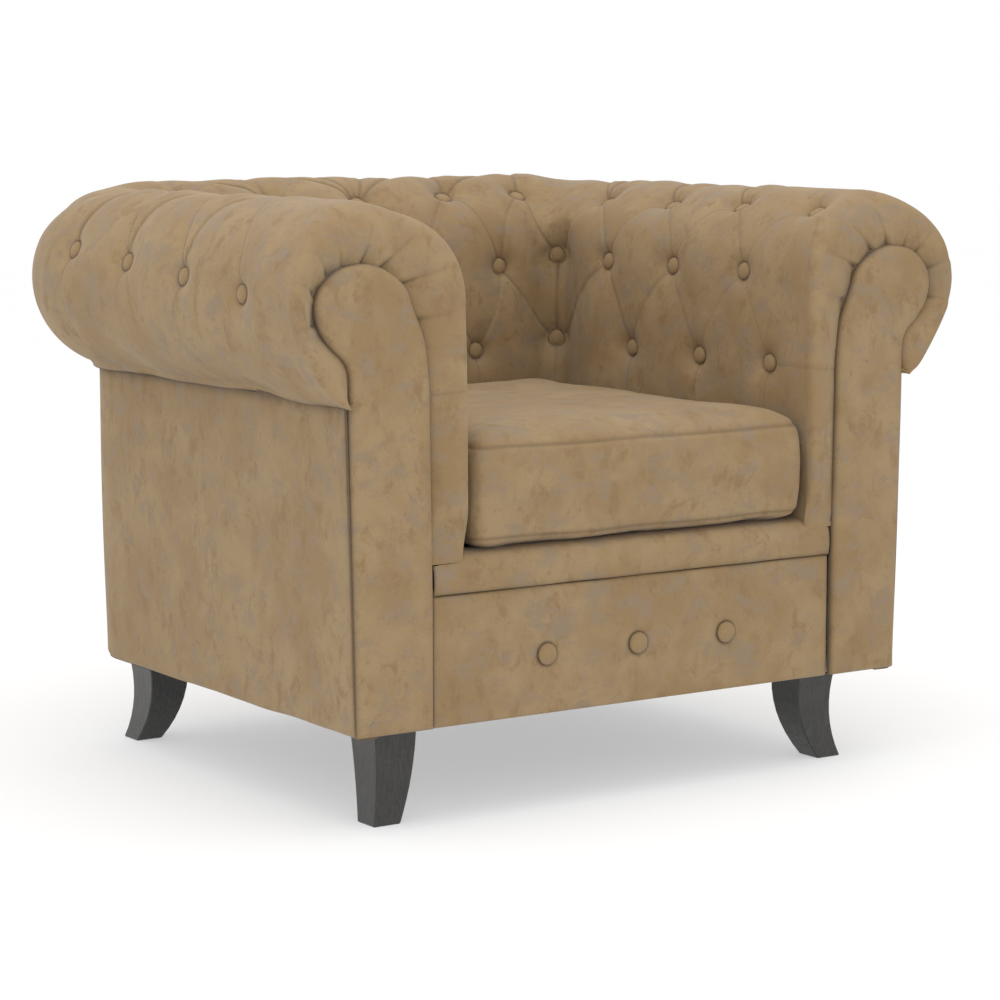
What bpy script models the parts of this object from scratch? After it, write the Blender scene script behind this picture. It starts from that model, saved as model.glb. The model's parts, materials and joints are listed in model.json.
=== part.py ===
"""Upholstered armchair with rolled arms and back: wooden frame, sprung seat, padding, loose cushion and sabre legs.

Metres, +Z up. The chair faces -Y, +X is on the right of someone who looks at its front, and the floor is z = 0.
The arms and the back are one tub: a profile that follows a centreline along the right arm, round the rear corner,
across the back and along the left arm. `offset` is the distance outside that centreline.
"""

import math

import bmesh
import bpy
from mathutils import Vector

# Overall size and clearances
DEPTH = 0.850
FRONT_PUFF = 0.008  # padding ahead of the arm fronts' faces
FRONT_Y = FRONT_PUFF - DEPTH / 2
GAP = 0.0005
UNDERSIDE_Z = 0.121

# Roll of the arms and the back
ROLL_RADIUS = 0.120
ROLL_X = 0.387
ROLL_Z = 0.635
ROLL_BACK_Y = DEPTH / 2 - ROLL_RADIUS
BACK_RISE = 0.006
ROLL_FRONT_LENGTH = 0.045
PUFF_DEGREES = 36
STRAIGHT_UNDER_DEGREES = -20
ROLL_END_DEGREES = -60
ROLL_STEP_DEGREES = 10
FACE_POINTS = 2
ROUND_UNDER_Y = FRONT_Y + 0.200
CORNER_RADIUS = 0.090
CORNER_X = ROLL_X - CORNER_RADIUS
CORNER_Y = ROLL_BACK_Y - CORNER_RADIUS
PAD_BOTTOM_Z = 0.335
PAD_WALL = 0.035
END_WALL = 0.013
TUCK_Z = 0.518
TUCK_OFFSET = 0.047
END_TUCK_INSET = 0.004

# Channel under the roll that holds the top rails
CHANNEL_INNER = -0.045
CHANNEL_OUTER = 0.035
CHANNEL_TOP_Z = 0.601
CHANNEL_BOTTOM_Z = 0.524

# Scroll shaped arm fronts
FACING_THICKNESS = 0.012
HEAD_X = 0.403
HEAD_Z = 0.618
HEAD_RADIUS = 0.070
FACING_INNER_X = 0.310
SHOULDER = (0.014, 0.596)  # behind the inner edge, and height, where the head begins
BOARD_INSET = 0.020
BOARD_THICKNESS = 0.022

# Outer panels, leaning out towards the top
PANEL_TOP_Z = 0.511
PANEL_TOP_OFFSET = 0.042
PANEL_FOOT_OFFSET = 0.033
PANEL_THICKNESS = 0.006
PANEL_CURL = 0.009
PANEL_TURN_IN = 0.007

# Seat
LIP_BOTTOM_Z = 0.2835
DECK_TOP_Z = 0.3315
DECK_THICKNESS = 0.018
DECK_HALF_WIDTH = 0.330
DECK_FRONT_Y = FRONT_Y + 0.056
DECK_BACK_Y = CORNER_Y - 0.011
LIP_FRONT_Y = FRONT_Y + 0.005
LIP_BACK_Y = FRONT_Y + 0.055
FRONT_PANEL_Y = FRONT_Y + 0.010
FRONT_PANEL_THICKNESS = 0.012
PANEL_EDGE = 0.003
CUSHION_HALF_WIDTH = 0.260
CUSHION_FRONT_Y = FRONT_Y + 0.004
CUSHION_REAR_Y = FRONT_Y + 0.596
CUSHION_BOTTOM_Z = 0.332
CUSHION_CORNER = 0.032
COVER_WALL = 0.004
CORE_INSET = 0.0046
ZIP_Z = 0.405
ZIP_SLOT_HALF_LENGTH = 0.205
ZIP_SLOT_HALF_HEIGHT = 0.0025
ZIP_START_X = 0.200
ZIP_PULL_LENGTH = 0.022
ZIP_PULL_HALF_WIDTH = 0.0035

# Underside
DUST_COVER_MARGIN = 0.011

# Frame timber
RAIL_BOTTOM_Z = UNDERSIDE_Z + 0.0018
RAIL_TOP_Z = 0.270
RAIL_WIDTH = 0.025
RAIL_FRONT_Y = FRONT_Y + 0.0235
RAIL_BACK_Y = ROLL_BACK_Y - 0.013
BACK_RAIL_HALF = 0.290
SIDE_RAIL_X = 0.374
BLOCK_TOP_Z = 0.163
FRONT_BLOCK_REACH = 0.110
REAR_BLOCK_REACH = 0.130
REAR_BLOCK_CUT = 0.040
POST_HALF_WIDTH = 0.0225
POST_INSET = 0.020
TOP_RAIL_INNER = 0.042
TOP_RAIL_OUTER = 0.018
TOP_RAIL_HEIGHT = 0.040
UPPER_RAIL_HALF = 0.300
STAY_RAIL_HEIGHT = 0.050
STAY_RAIL_CLEARANCE = 0.002
STAY_RAIL_FRONT_Y = FRONT_Y + 0.060
ARM_TOP_RAIL_END_Y = CORNER_Y + 0.010
ARM_STAY_RAIL_END_Y = CORNER_Y + 0.005
TIMBER_EDGE = 0.002

# Springs
SPRING_X = (-0.24, -0.12, 0.0, 0.12, 0.24)
SPRING_BARS = 16
SPRING_REACH = 0.020
SPRING_RISE = 0.028
WIRE_RADIUS = 0.0019
SPRING_FRONT_Y = FRONT_Y + 0.036
SPRING_BACK_Y = ROLL_BACK_Y - 0.001
CLIP_HALF_WIDTH = 0.007

# Legs
LEG_FOOT_X = 0.3686
LEG_FRONT_Y = FRONT_Y + 0.050
LEG_REAR_Y = DEPTH / 2 - 0.140
LEG_FOOT_WIDTH = 0.0386
LEG_TOP_WIDTH = 0.0606
LEG_TOP_SETBACK = 0.0052
LEG_CURVE_Z = 0.055
LEG_OUTER_HOLLOW = -0.018
LEG_INNER_CURVE = -0.072
LEG_STEPS = 8
LEG_EDGE = 0.0015
BOLT_RADIUS = 0.004
BOLT_LOW_Z = 0.080
BOLT_HIGH_Z = 0.158
BORE_LOW_Z = 0.0775
BORE_RUN_OUT = 0.007

# Front buttons
BUTTON_X = (-0.14, 0.0, 0.14)
BUTTON_Z = 0.196
BUTTON_RADIUS = 0.0135
BUTTON_RISE = 0.0055
BUTTON_SIDES = 20


def clear_scene():
    for obj in list(bpy.data.objects):
        bpy.data.objects.remove(obj, do_unlink=True)


def principled(name, colour, roughness, metallic=0.0):
    material = bpy.data.materials.new(name)
    material.use_nodes = True
    shader = material.node_tree.nodes["Principled BSDF"]
    shader.inputs["Base Color"].default_value = (*colour, 1.0)
    shader.inputs["Roughness"].default_value = roughness
    shader.inputs["Metallic"].default_value = metallic
    return material


def finish(name, bm, material, origin=(0, 0, 0), parent=None):
    """Makes the object of a bmesh that is drawn in world coordinates, with its origin at `origin`."""
    origin = Vector(origin)
    bmesh.ops.remove_doubles(bm, verts=bm.verts, dist=1e-6)
    bmesh.ops.translate(bm, vec=-origin, verts=bm.verts)
    bmesh.ops.recalc_face_normals(bm, faces=bm.faces)
    mesh = bpy.data.meshes.new(name)
    bm.to_mesh(mesh)
    bm.free()
    mesh.shade_smooth()
    mesh.set_sharp_from_angle(angle=math.radians(35))
    mesh.materials.append(material)
    obj = bpy.data.objects.new(name, mesh)
    bpy.context.collection.objects.link(obj)
    obj.location = origin
    if parent:
        obj.parent = parent
        obj.location = origin - parent.location
    return obj


def loft(sections):
    """A closed bmesh through sections with equal numbers of points, capped at both ends."""
    bm = bmesh.new()
    rings = [[bm.verts.new(point) for point in section] for section in sections]
    for near, far in zip(rings, rings[1:]):
        for i in range(len(near)):
            j = (i + 1) % len(near)
            bm.faces.new((near[i], near[j], far[j], far[i]))
    bm.faces.new(rings[0])
    bm.faces.new(rings[-1])
    return bm


def slab(outline, axis, low, high):
    """A flat plate: an outline in the two axes other than `axis`, extruded from low to high along it."""
    return loft([[Vector((*p[:axis], level, *p[axis:])) for p in outline] for level in (low, high)])


def block(low, high):
    (x0, y0, z0), (x1, y1, z1) = low, high
    return slab([(x0, y0), (x1, y0), (x1, y1), (x0, y1)], 2, z0, z1)


def arc(centre, radius, start, end, steps):
    angles = [math.radians(start + (end - start) * i / steps) for i in range(steps + 1)]
    return [(centre[0] + radius * math.cos(a), centre[1] + radius * math.sin(a)) for a in angles]


def mirrored(points, side):
    return [(side * p[0], *p[1:]) for p in points]


def add_bevel(obj, width, segments=2):
    bevel = obj.modifiers.new("rounded_edges", "BEVEL")
    bevel.width = width
    bevel.segments = segments
    bevel.limit_method = "ANGLE"
    bevel.angle_limit = math.radians(50)


def cut(obj, cutter):
    difference = obj.modifiers.new("cut_" + cutter.name, "BOOLEAN")
    difference.operation = "DIFFERENCE"
    difference.object = cutter


def make_cutter(name, bm):
    cutter = finish(name, bm, bpy.data.materials.new(name))
    cutter.hide_render = True
    cutter.display_type = "WIRE"
    return cutter


def centre_of(low, high):
    return [(a + b) / 2 for a, b in zip(low, high)]


def timber(name, low, high, material):
    obj = finish(name, block(low, high), material, centre_of(low, high))
    add_bevel(obj, TIMBER_EDGE, 1)
    return obj


# The tub


def tub_point(offset, turn, along):
    """Plan position on the right half. turn is 0 on the arm, where along is y, and 90 on the back, where it is x."""
    radius = max(0.0, CORNER_RADIUS + offset)
    sharp = min(0.0, CORNER_RADIUS + offset)
    if turn == 0:
        return ROLL_X + offset, min(along, CORNER_Y + sharp)
    if turn == 90:
        return min(along, CORNER_X + sharp), ROLL_BACK_Y + offset
    angle = math.radians(turn)
    return CORNER_X + sharp + radius * math.cos(angle), CORNER_Y + sharp + radius * math.sin(angle)


def raised(z, turn):
    """Height on the tub: the upper half of the roll stands a little higher along the back than on the arms."""
    return z + max(0.0, z - ROLL_Z) / ROLL_RADIUS * BACK_RISE * math.sin(math.radians(turn)) ** 2


def tub_section(profile, turn, along=0.0, side=1, shift=(0.0, 0.0)):
    section = []
    for offset, z in profile:
        x, y = tub_point(offset, turn, along)
        section.append(Vector((side * (x + shift[0]), y + shift[1], raised(z, turn))))
    return section


def pad_profile(face, roll, tuck_offset, wall_back):
    """Padding from the foot of the inner face, over the roll, to the tuck, and back round the rail channel."""
    profile = [(face, PAD_BOTTOM_Z), (face, CHANNEL_BOTTOM_Z)]
    profile += roll
    profile += [
        (tuck_offset, TUCK_Z),
        (CHANNEL_OUTER, CHANNEL_BOTTOM_Z),
        (CHANNEL_OUTER, CHANNEL_TOP_Z),
        (CHANNEL_INNER, CHANNEL_TOP_Z),
        (CHANNEL_INNER, CHANNEL_BOTTOM_Z),
        (wall_back, CHANNEL_BOTTOM_Z),
        (wall_back, PAD_BOTTOM_Z),
    ]
    return profile


def straight_under(roll, tuck):
    """The roll with its underside pulled straight to the tuck, as it is near the arm fronts."""
    kept = (180 - STRAIGHT_UNDER_DEGREES) // ROLL_STEP_DEGREES + 1
    start = roll[kept - 1]
    rest = len(roll) - kept
    shares = [k / (rest + 1) for k in range(1, rest + 1)]
    return roll[:kept] + [tuple(a + (b - a) * share for a, b in zip(start, tuck)) for share in shares]


def full_profile(under="round"):
    steps = (180 - ROLL_END_DEGREES) // ROLL_STEP_DEGREES
    roll = arc((0.0, ROLL_Z), ROLL_RADIUS, 180, ROLL_END_DEGREES, steps)
    if under == "straight":
        roll = straight_under(roll, (TUCK_OFFSET, TUCK_Z))
    return pad_profile(-ROLL_RADIUS, roll, TUCK_OFFSET, PAD_WALL - ROLL_RADIUS)


def end_profile():
    """Where the padding meets the edge of the facing."""
    face = FACING_INNER_X - ROLL_X
    tuck = (TUCK_OFFSET - END_TUCK_INSET, TUCK_Z)
    steps = (180 - ROLL_END_DEGREES) // ROLL_STEP_DEGREES
    roll = arc((HEAD_X - ROLL_X, HEAD_Z), HEAD_RADIUS + GAP, 180, ROLL_END_DEGREES, steps)
    roll[0] = (face + SHOULDER[0] - 2 * GAP, SHOULDER[1])
    return pad_profile(face, straight_under(roll, tuck), tuck[0], face + END_WALL)


def make_arm_pad(name, side, material, board_cutter):
    full = full_profile()
    front = full_profile("straight")
    end = end_profile()
    start_y = FRONT_Y + FACING_THICKNESS + GAP
    peak = math.radians(PUFF_DEGREES)
    puff = (start_y + DEPTH / 2 + ROLL_FRONT_LENGTH * (1 - math.cos(peak))) / math.sin(2 * peak)
    outer = FACE_POINTS + (180 - STRAIGHT_UNDER_DEGREES) // ROLL_STEP_DEGREES
    sections = []
    for degrees in range(0, 91, 18):
        angle = math.radians(degrees)
        blend = math.sin(angle)
        profile = [(e[0] + (f[0] - e[0]) * blend, e[1] + (f[1] - e[1]) * blend) for e, f in zip(end, front)]
        y = start_y + ROLL_FRONT_LENGTH * (1 - math.cos(angle))
        section = tub_section(profile, 0, y, side)
        for point in section[:outer]:
            point.y -= puff * math.sin(2 * angle)
        sections.append(section)
    sections.append(tub_section(full, 0, ROUND_UNDER_Y, side))
    sections.append(tub_section(full, 0, CORNER_Y, side))
    for turn in (15, 30):
        sections.append(tub_section(full, turn, side=side))
    sections.append(tub_section(full, 45, side=side, shift=(GAP, -GAP)))
    pad = finish(name, loft(sections), material)
    cut(pad, board_cutter)
    return pad


def make_back_pad(material):
    full = full_profile()
    sections = [tub_section(full, 45)]
    sections += [tub_section(full, turn) for turn in (60, 75)]
    sections.append(tub_section(full, 90, CORNER_X))
    sections.append(tub_section(full, 90, CORNER_X, side=-1))
    sections += [tub_section(full, turn, side=-1) for turn in (75, 60, 45)]
    return finish("back_pad", loft(sections), material)


def panel_profile():
    inner_top = PANEL_TOP_OFFSET - PANEL_THICKNESS
    inner_foot = PANEL_FOOT_OFFSET - PANEL_THICKNESS
    foot_z = UNDERSIDE_Z + GAP
    return [
        (PANEL_FOOT_OFFSET - PANEL_TURN_IN, foot_z),
        (PANEL_FOOT_OFFSET, foot_z + PANEL_CURL),
        (PANEL_TOP_OFFSET, PANEL_TOP_Z),
        (inner_top, PANEL_TOP_Z),
        (inner_foot, foot_z + PANEL_CURL),
        (inner_foot - PANEL_TURN_IN / 2, foot_z),
    ]


def make_outside_arm(name, side, material):
    profile = panel_profile()
    start_y = FRONT_Y + FACING_THICKNESS + GAP
    sections = [tub_section(profile, 0, y, side) for y in (start_y, CORNER_Y)]
    sections += [tub_section(profile, turn, side=side) for turn in (15, 30, 45, 60, 75)]
    sections.append(tub_section(profile, 90, CORNER_X, side))
    return finish(name, loft(sections), material)


def make_outside_back(material):
    profile = panel_profile()
    end_x = CORNER_X - GAP
    return finish("outside_back", loft([tub_section(profile, 90, end_x, side) for side in (1, -1)]), material)


# Arm fronts


def scroll_outline(inset, side):
    """Outline of an arm front in x and z: straight foot, concave neck and round head."""
    inner = FACING_INNER_X + inset
    outline = [(inner, UNDERSIDE_Z + inset), (inner, LIP_BOTTOM_Z), (inner + 0.0044, 0.543)]
    outline.append((inner + SHOULDER[0], SHOULDER[1]))
    outline += arc((HEAD_X, HEAD_Z), HEAD_RADIUS - inset, 160, -15, 14)
    outline += [(0.432 - inset, 0.569), (0.4265 - inset, 0.544), (0.430 - inset, 0.512)]
    outline.append((ROLL_X + PANEL_FOOT_OFFSET - inset, UNDERSIDE_Z + inset))
    return mirrored(outline, side)


def make_facing(name, side, material):
    bm = slab(scroll_outline(0.0, side), 1, FRONT_Y, FRONT_Y + FACING_THICKNESS)
    facing = finish(name, bm, material)
    add_bevel(facing, PANEL_EDGE)
    return facing


def make_front_board(name, side, material):
    start_y = FRONT_Y + FACING_THICKNESS + GAP
    return finish(name, slab(scroll_outline(BOARD_INSET, side), 1, start_y, start_y + BOARD_THICKNESS), material)


def make_board_cutter(name, side):
    start_y = FRONT_Y + FACING_THICKNESS / 2
    end_y = FRONT_Y + FACING_THICKNESS + BOARD_THICKNESS + 2 * GAP
    return make_cutter(name, slab(scroll_outline(BOARD_INSET - GAP, side), 1, start_y, end_y))


# Wooden frame


def leg_centre(side_x, side_y):
    setback = LEG_TOP_SETBACK + LEG_TOP_WIDTH / 2
    foot_y = LEG_REAR_Y if side_y > 0 else LEG_FRONT_Y
    return side_x * (LEG_FOOT_X - setback), foot_y - side_y * setback


def make_seat_rails(wood):
    board_back = FRONT_Y + FACING_THICKNESS + BOARD_THICKNESS + 2 * GAP
    front_half = FACING_INNER_X + BOARD_INSET - 2 * GAP
    for name, half, y in (("front", front_half, RAIL_FRONT_Y), ("back", BACK_RAIL_HALF, RAIL_BACK_Y)):
        timber("seat_rail_" + name, (-half, y, RAIL_BOTTOM_Z), (half, y + RAIL_WIDTH, RAIL_TOP_Z), wood)
    for name, side in (("left", -1), ("right", 1)):
        x0, x1 = sorted((side * SIDE_RAIL_X, side * (SIDE_RAIL_X + RAIL_WIDTH)))
        timber("seat_rail_" + name, (x0, board_back, RAIL_BOTTOM_Z), (x1, CORNER_Y, RAIL_TOP_Z), wood)


def make_corner_blocks(wood, bores):
    rail_x = SIDE_RAIL_X - GAP
    front_y = RAIL_FRONT_Y + RAIL_WIDTH + GAP
    back_y = RAIL_BACK_Y - GAP
    front = [(rail_x, front_y), (rail_x - FRONT_BLOCK_REACH, front_y), (rail_x, front_y + FRONT_BLOCK_REACH)]
    rear = [
        (rail_x, back_y - REAR_BLOCK_REACH),
        (rail_x, back_y - REAR_BLOCK_CUT),
        (rail_x - REAR_BLOCK_CUT, back_y),
        (rail_x - REAR_BLOCK_REACH, back_y),
    ]
    for end, outline in (("front", front), ("rear", rear)):
        for name, side in (("left", -1), ("right", 1)):
            bm = slab(mirrored(outline, side), 2, RAIL_BOTTOM_Z, BLOCK_TOP_Z)
            cut(finish(f"corner_block_{end}_{name}", bm, wood), bores)


def make_back_posts(wood):
    """Square posts set diagonally in the rear corners, on the corner blocks."""
    half = POST_HALF_WIDTH * math.sqrt(2)
    reach = (CORNER_RADIUS - POST_INSET) / math.sqrt(2)
    x, y = CORNER_X + reach, CORNER_Y + reach
    outline = [(x - half, y), (x, y - half), (x + half, y), (x, y + half)]
    for name, side in (("left", -1), ("right", 1)):
        bm = slab(mirrored(outline, side), 2, BLOCK_TOP_Z + GAP, CHANNEL_TOP_Z - GAP)
        finish("back_post_" + name, bm, wood, (side * x, y, BLOCK_TOP_Z))


def make_upper_rails(wood):
    start_y = FRONT_Y + FACING_THICKNESS + BOARD_THICKNESS + 2 * GAP
    top_z = CHANNEL_TOP_Z - GAP
    low_z = top_z - TOP_RAIL_HEIGHT
    wall_back = ROLL_RADIUS - PAD_WALL - STAY_RAIL_CLEARANCE
    stay_bottom = PAD_BOTTOM_Z + 2 * GAP
    stay_top = stay_bottom + STAY_RAIL_HEIGHT
    for name, side in (("left", -1), ("right", 1)):
        x0, x1 = sorted((side * (ROLL_X - TOP_RAIL_INNER), side * (ROLL_X + TOP_RAIL_OUTER)))
        timber("arm_top_rail_" + name, (x0, start_y, low_z), (x1, ARM_TOP_RAIL_END_Y, top_z), wood)
        x0, x1 = sorted((side * (ROLL_X - wall_back), side * (ROLL_X - wall_back + RAIL_WIDTH)))
        low, high = (x0, STAY_RAIL_FRONT_Y, stay_bottom), (x1, ARM_STAY_RAIL_END_Y, stay_top)
        timber("arm_stay_rail_" + name, low, high, wood)
    y0, y1 = ROLL_BACK_Y - TOP_RAIL_INNER, ROLL_BACK_Y + TOP_RAIL_OUTER
    timber("back_top_rail", (-UPPER_RAIL_HALF, y0, low_z), (UPPER_RAIL_HALF, y1, top_z), wood)
    stay_y = ROLL_BACK_Y - wall_back
    low = (-UPPER_RAIL_HALF, stay_y, stay_bottom)
    timber("back_stay_rail", low, (UPPER_RAIL_HALF, stay_y + RAIL_WIDTH, stay_top), wood)


# Sprung seat


def spring_path(x, start_y, end_y, z):
    """Cross bars joined by half turns, arched up in the middle."""
    pitch = (end_y - start_y) / (SPRING_BARS - 1)
    points = [(x, start_y)]
    for bar in range(SPRING_BARS):
        y = start_y + bar * pitch
        side = 1 if bar % 2 == 0 else -1
        points.append((x + side * SPRING_REACH, y))
        if bar == SPRING_BARS - 1:
            break
        for degrees in (45, 90, 135):
            angle = math.radians(degrees)
            reach = SPRING_REACH + pitch / 2 * math.sin(angle)
            points.append((x + side * reach, y + pitch / 2 * (1 - math.cos(angle))))
        points.append((x + side * SPRING_REACH, y + pitch))
    length = end_y - start_y
    return [(px, py, z + SPRING_RISE * math.sin(math.pi * (py - start_y) / length)) for px, py in points]


def make_spring(name, path, material):
    curve = bpy.data.curves.new(name, "CURVE")
    curve.dimensions = "3D"
    curve.bevel_depth = WIRE_RADIUS
    curve.bevel_resolution = 1
    curve.use_fill_caps = True
    spline = curve.splines.new("POLY")
    spline.points.add(len(path) - 1)
    for point, position in zip(spline.points, path):
        point.co = (*position, 1.0)
    curve.materials.append(material)
    obj = bpy.data.objects.new(name, curve)
    bpy.context.collection.objects.link(obj)


def make_spring_clip(name, x, y, material):
    """A strap over the end bar of a spring, standing on the rail."""
    slot, wall = WIRE_RADIUS + GAP, WIRE_RADIUS + 4 * GAP
    foot = RAIL_TOP_Z + GAP
    slot_top, top = foot + 2 * WIRE_RADIUS + 2 * GAP, foot + 2 * WIRE_RADIUS + 5 * GAP
    outline = [(-wall, foot), (-slot, foot), (-slot, slot_top), (slot, slot_top)]
    outline += [(slot, foot), (wall, foot), (wall, top), (-wall, top)]
    bm = slab([(y + dy, z) for dy, z in outline], 0, x - CLIP_HALF_WIDTH, x + CLIP_HALF_WIDTH)
    finish(name, bm, material, (x, y, foot))


def make_springs(steel):
    wire_z = RAIL_TOP_Z + 2 * GAP + WIRE_RADIUS
    for number, x in enumerate(SPRING_X, start=1):
        make_spring(f"seat_spring_{number}", spring_path(x, SPRING_FRONT_Y, SPRING_BACK_Y, wire_z), steel)
        grip = SPRING_REACH / 2
        make_spring_clip(f"spring_clip_front_{number}", x + grip, SPRING_FRONT_Y, steel)
        make_spring_clip(f"spring_clip_back_{number}", x - grip, SPRING_BACK_Y, steel)


def make_deck(material):
    low = (-DECK_HALF_WIDTH, DECK_FRONT_Y, DECK_TOP_Z - DECK_THICKNESS)
    high = (DECK_HALF_WIDTH, DECK_BACK_Y, DECK_TOP_Z)
    deck = finish("seat_deck", block(low, high), material, centre_of(low, high))
    add_bevel(deck, 2 * TIMBER_EDGE)


def make_lip(material):
    """Rolled front edge of the platform, round towards the front."""
    half = FACING_INNER_X - 3 * GAP
    middle_z = (LIP_BOTTOM_Z + DECK_TOP_Z) / 2
    radius = (DECK_TOP_Z - LIP_BOTTOM_Z) / 2
    outline = arc((LIP_FRONT_Y + radius, middle_z), radius, 90, 270, 10)
    outline += [(LIP_BACK_Y, LIP_BOTTOM_Z), (LIP_BACK_Y, DECK_TOP_Z)]
    finish("seat_lip", slab(outline, 0, -half, half), material)


def make_front_panel(material):
    half = FACING_INNER_X - 2 * GAP
    low = (-half, FRONT_PANEL_Y, UNDERSIDE_Z)
    high = (half, FRONT_PANEL_Y + FRONT_PANEL_THICKNESS, LIP_BOTTOM_Z - GAP)
    panel = finish("front_panel", block(low, high), material, centre_of(low, high))
    add_bevel(panel, PANEL_EDGE)
    return panel


def make_front_button(name, x, material, panel):
    """A domed round button on the front panel, turned about an axis along y."""
    back_y = FRONT_PANEL_Y - GAP
    last = 360 - 360 / BUTTON_SIDES
    rings = [(1.0, 0.0), (1.0, 0.35), (0.86, 0.68), (0.55, 0.92), (0.2, 1.0)]
    sections = []
    for scale, height in rings:
        ring = arc((x, BUTTON_Z), BUTTON_RADIUS * scale, 0, last, BUTTON_SIDES - 1)
        sections.append([Vector((px, back_y - BUTTON_RISE * height, pz)) for px, pz in ring])
    finish(name, loft(sections), material, (x, back_y, BUTTON_Z), panel)


# Loose cushion


def rounded_rectangle(half_x, y0, y1, radius):
    outline = []
    for cx, cy, start in (
        (half_x - radius, y1 - radius, 0),
        (radius - half_x, y1 - radius, 90),
        (radius - half_x, y0 + radius, 180),
        (half_x - radius, y0 + radius, 270),
    ):
        outline += arc((cx, cy), radius, start, start + 90, 4)
    return outline


def cushion_form(inset):
    """Crowned box cushion, drawn `inset` inside its outer surface."""
    levels = [
        (0.000, 0.007),
        (0.007, 0.000),
        (0.124, 0.000),
        (0.133, 0.004),
        (0.139, 0.020),
        (0.145, 0.075),
        (0.148, 0.150),
    ]
    sections = []
    for height, pull in levels:
        z = CUSHION_BOTTOM_Z + inset + height * (1 - 2 * inset / levels[-1][0])
        shrink = inset + pull
        outline = rounded_rectangle(
            CUSHION_HALF_WIDTH - shrink, CUSHION_FRONT_Y + shrink, CUSHION_REAR_Y - shrink, CUSHION_CORNER
        )
        sections.append([Vector((x, y, z)) for x, y in outline])
    return loft(sections)


def make_cushion(fabric, foam, zip_metal):
    origin = (0, (CUSHION_FRONT_Y + CUSHION_REAR_Y) / 2, CUSHION_BOTTOM_Z)
    cover = finish("cushion_cover", cushion_form(0.0), fabric, origin)
    cut(cover, make_cutter("cutter_cushion_hollow", cushion_form(COVER_WALL)))
    slot_low = (-ZIP_SLOT_HALF_LENGTH, CUSHION_REAR_Y - 0.010, ZIP_Z - ZIP_SLOT_HALF_HEIGHT)
    slot_high = (ZIP_SLOT_HALF_LENGTH, CUSHION_REAR_Y + 0.010, ZIP_Z + ZIP_SLOT_HALF_HEIGHT)
    cut(cover, make_cutter("cutter_zip_slot", block(slot_low, slot_high)))
    finish("cushion_core", cushion_form(CORE_INSET), foam, origin, cover)
    make_zip_slider(zip_metal, cover)


def make_zip_slider(material, cover):
    """Slider in the slot of the rear boxing, with its pull hanging outside."""
    half_body = ZIP_SLOT_HALF_HEIGHT - GAP
    tab_face, tab_back = CUSHION_REAR_Y + GAP, CUSHION_REAR_Y + 3 * GAP
    outline = [
        (CUSHION_REAR_Y - COVER_WALL + GAP, ZIP_Z - half_body),
        (tab_face, ZIP_Z - half_body),
        (tab_face, ZIP_Z - ZIP_PULL_LENGTH),
        (tab_back, ZIP_Z - ZIP_PULL_LENGTH),
        (tab_back, ZIP_Z + half_body),
        (CUSHION_REAR_Y - COVER_WALL + GAP, ZIP_Z + half_body),
    ]
    bm = slab(outline, 0, ZIP_START_X - ZIP_PULL_HALF_WIDTH, ZIP_START_X + ZIP_PULL_HALF_WIDTH)
    finish("zip_slider", bm, material, (ZIP_START_X, CUSHION_REAR_Y, ZIP_Z), cover)


# Underside and legs


def make_bore_cutter():
    """Four vertical cylinders, one through each leg's centre."""
    bm = bmesh.new()
    low, high = BORE_LOW_Z, BLOCK_TOP_Z + BORE_RUN_OUT
    for side_x in (-1, 1):
        for side_y in (-1, 1):
            x, y = leg_centre(side_x, side_y)
            made = bmesh.ops.create_cone(
                bm,
                cap_ends=True,
                segments=14,
                radius1=BOLT_RADIUS + GAP,
                radius2=BOLT_RADIUS + GAP,
                depth=high - low,
            )
            bmesh.ops.translate(bm, vec=(x, y, (low + high) / 2), verts=made["verts"])
    return make_cutter("cutter_bolt_bores", bm)


def make_dust_cover(material, bores):
    offset = PANEL_FOOT_OFFSET - DUST_COVER_MARGIN
    half = [tub_point(offset, 0, RAIL_FRONT_Y)]
    half += [tub_point(offset, turn, 0.0) for turn in (15, 30, 45, 60, 75)]
    half.insert(1, tub_point(offset, 0, CORNER_Y))
    half.append(tub_point(offset, 90, CORNER_X))
    outline = half + mirrored(reversed(half), -1)
    cover = finish("dust_cover", slab(outline, 2, UNDERSIDE_Z + GAP, UNDERSIDE_Z + 3 * GAP), material)
    cut(cover, bores)


def bezier(start, control, end, t):
    return (1 - t) ** 2 * start + 2 * t * (1 - t) * control + t**2 * end


def make_leg(name, side_x, side_y, material, bores):
    """Sabre leg: square in section, its outer faces hollow and sweeping out to the foot."""
    foot_y = LEG_REAR_Y if side_y > 0 else LEG_FRONT_Y
    sections = []
    for step in range(LEG_STEPS + 1):
        t = step / LEG_STEPS
        z = bezier(0.0, LEG_CURVE_Z, UNDERSIDE_Z, t)
        outer = bezier(0.0, LEG_OUTER_HOLLOW, -LEG_TOP_SETBACK, t)
        inner = bezier(-LEG_FOOT_WIDTH, LEG_INNER_CURVE, -LEG_TOP_SETBACK - LEG_TOP_WIDTH, t)
        corners = ((outer, outer), (inner, outer), (inner, inner), (outer, inner))
        sections.append([Vector((side_x * (LEG_FOOT_X + u), foot_y + side_y * v, z)) for u, v in corners])
    leg = finish(name, loft(sections), material, (side_x * LEG_FOOT_X, foot_y, 0))
    add_bevel(leg, LEG_EDGE, 1)
    cut(leg, bores)


def make_leg_bolt(name, side_x, side_y, material):
    low, high = BOLT_LOW_Z, BOLT_HIGH_Z
    bm = bmesh.new()
    bmesh.ops.create_cone(
        bm, cap_ends=True, segments=14, radius1=BOLT_RADIUS, radius2=BOLT_RADIUS, depth=high - low
    )
    x, y = leg_centre(side_x, side_y)
    centre = (x, y, (low + high) / 2)
    bmesh.ops.translate(bm, vec=centre, verts=bm.verts)
    finish(name, bm, material, centre)


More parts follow.
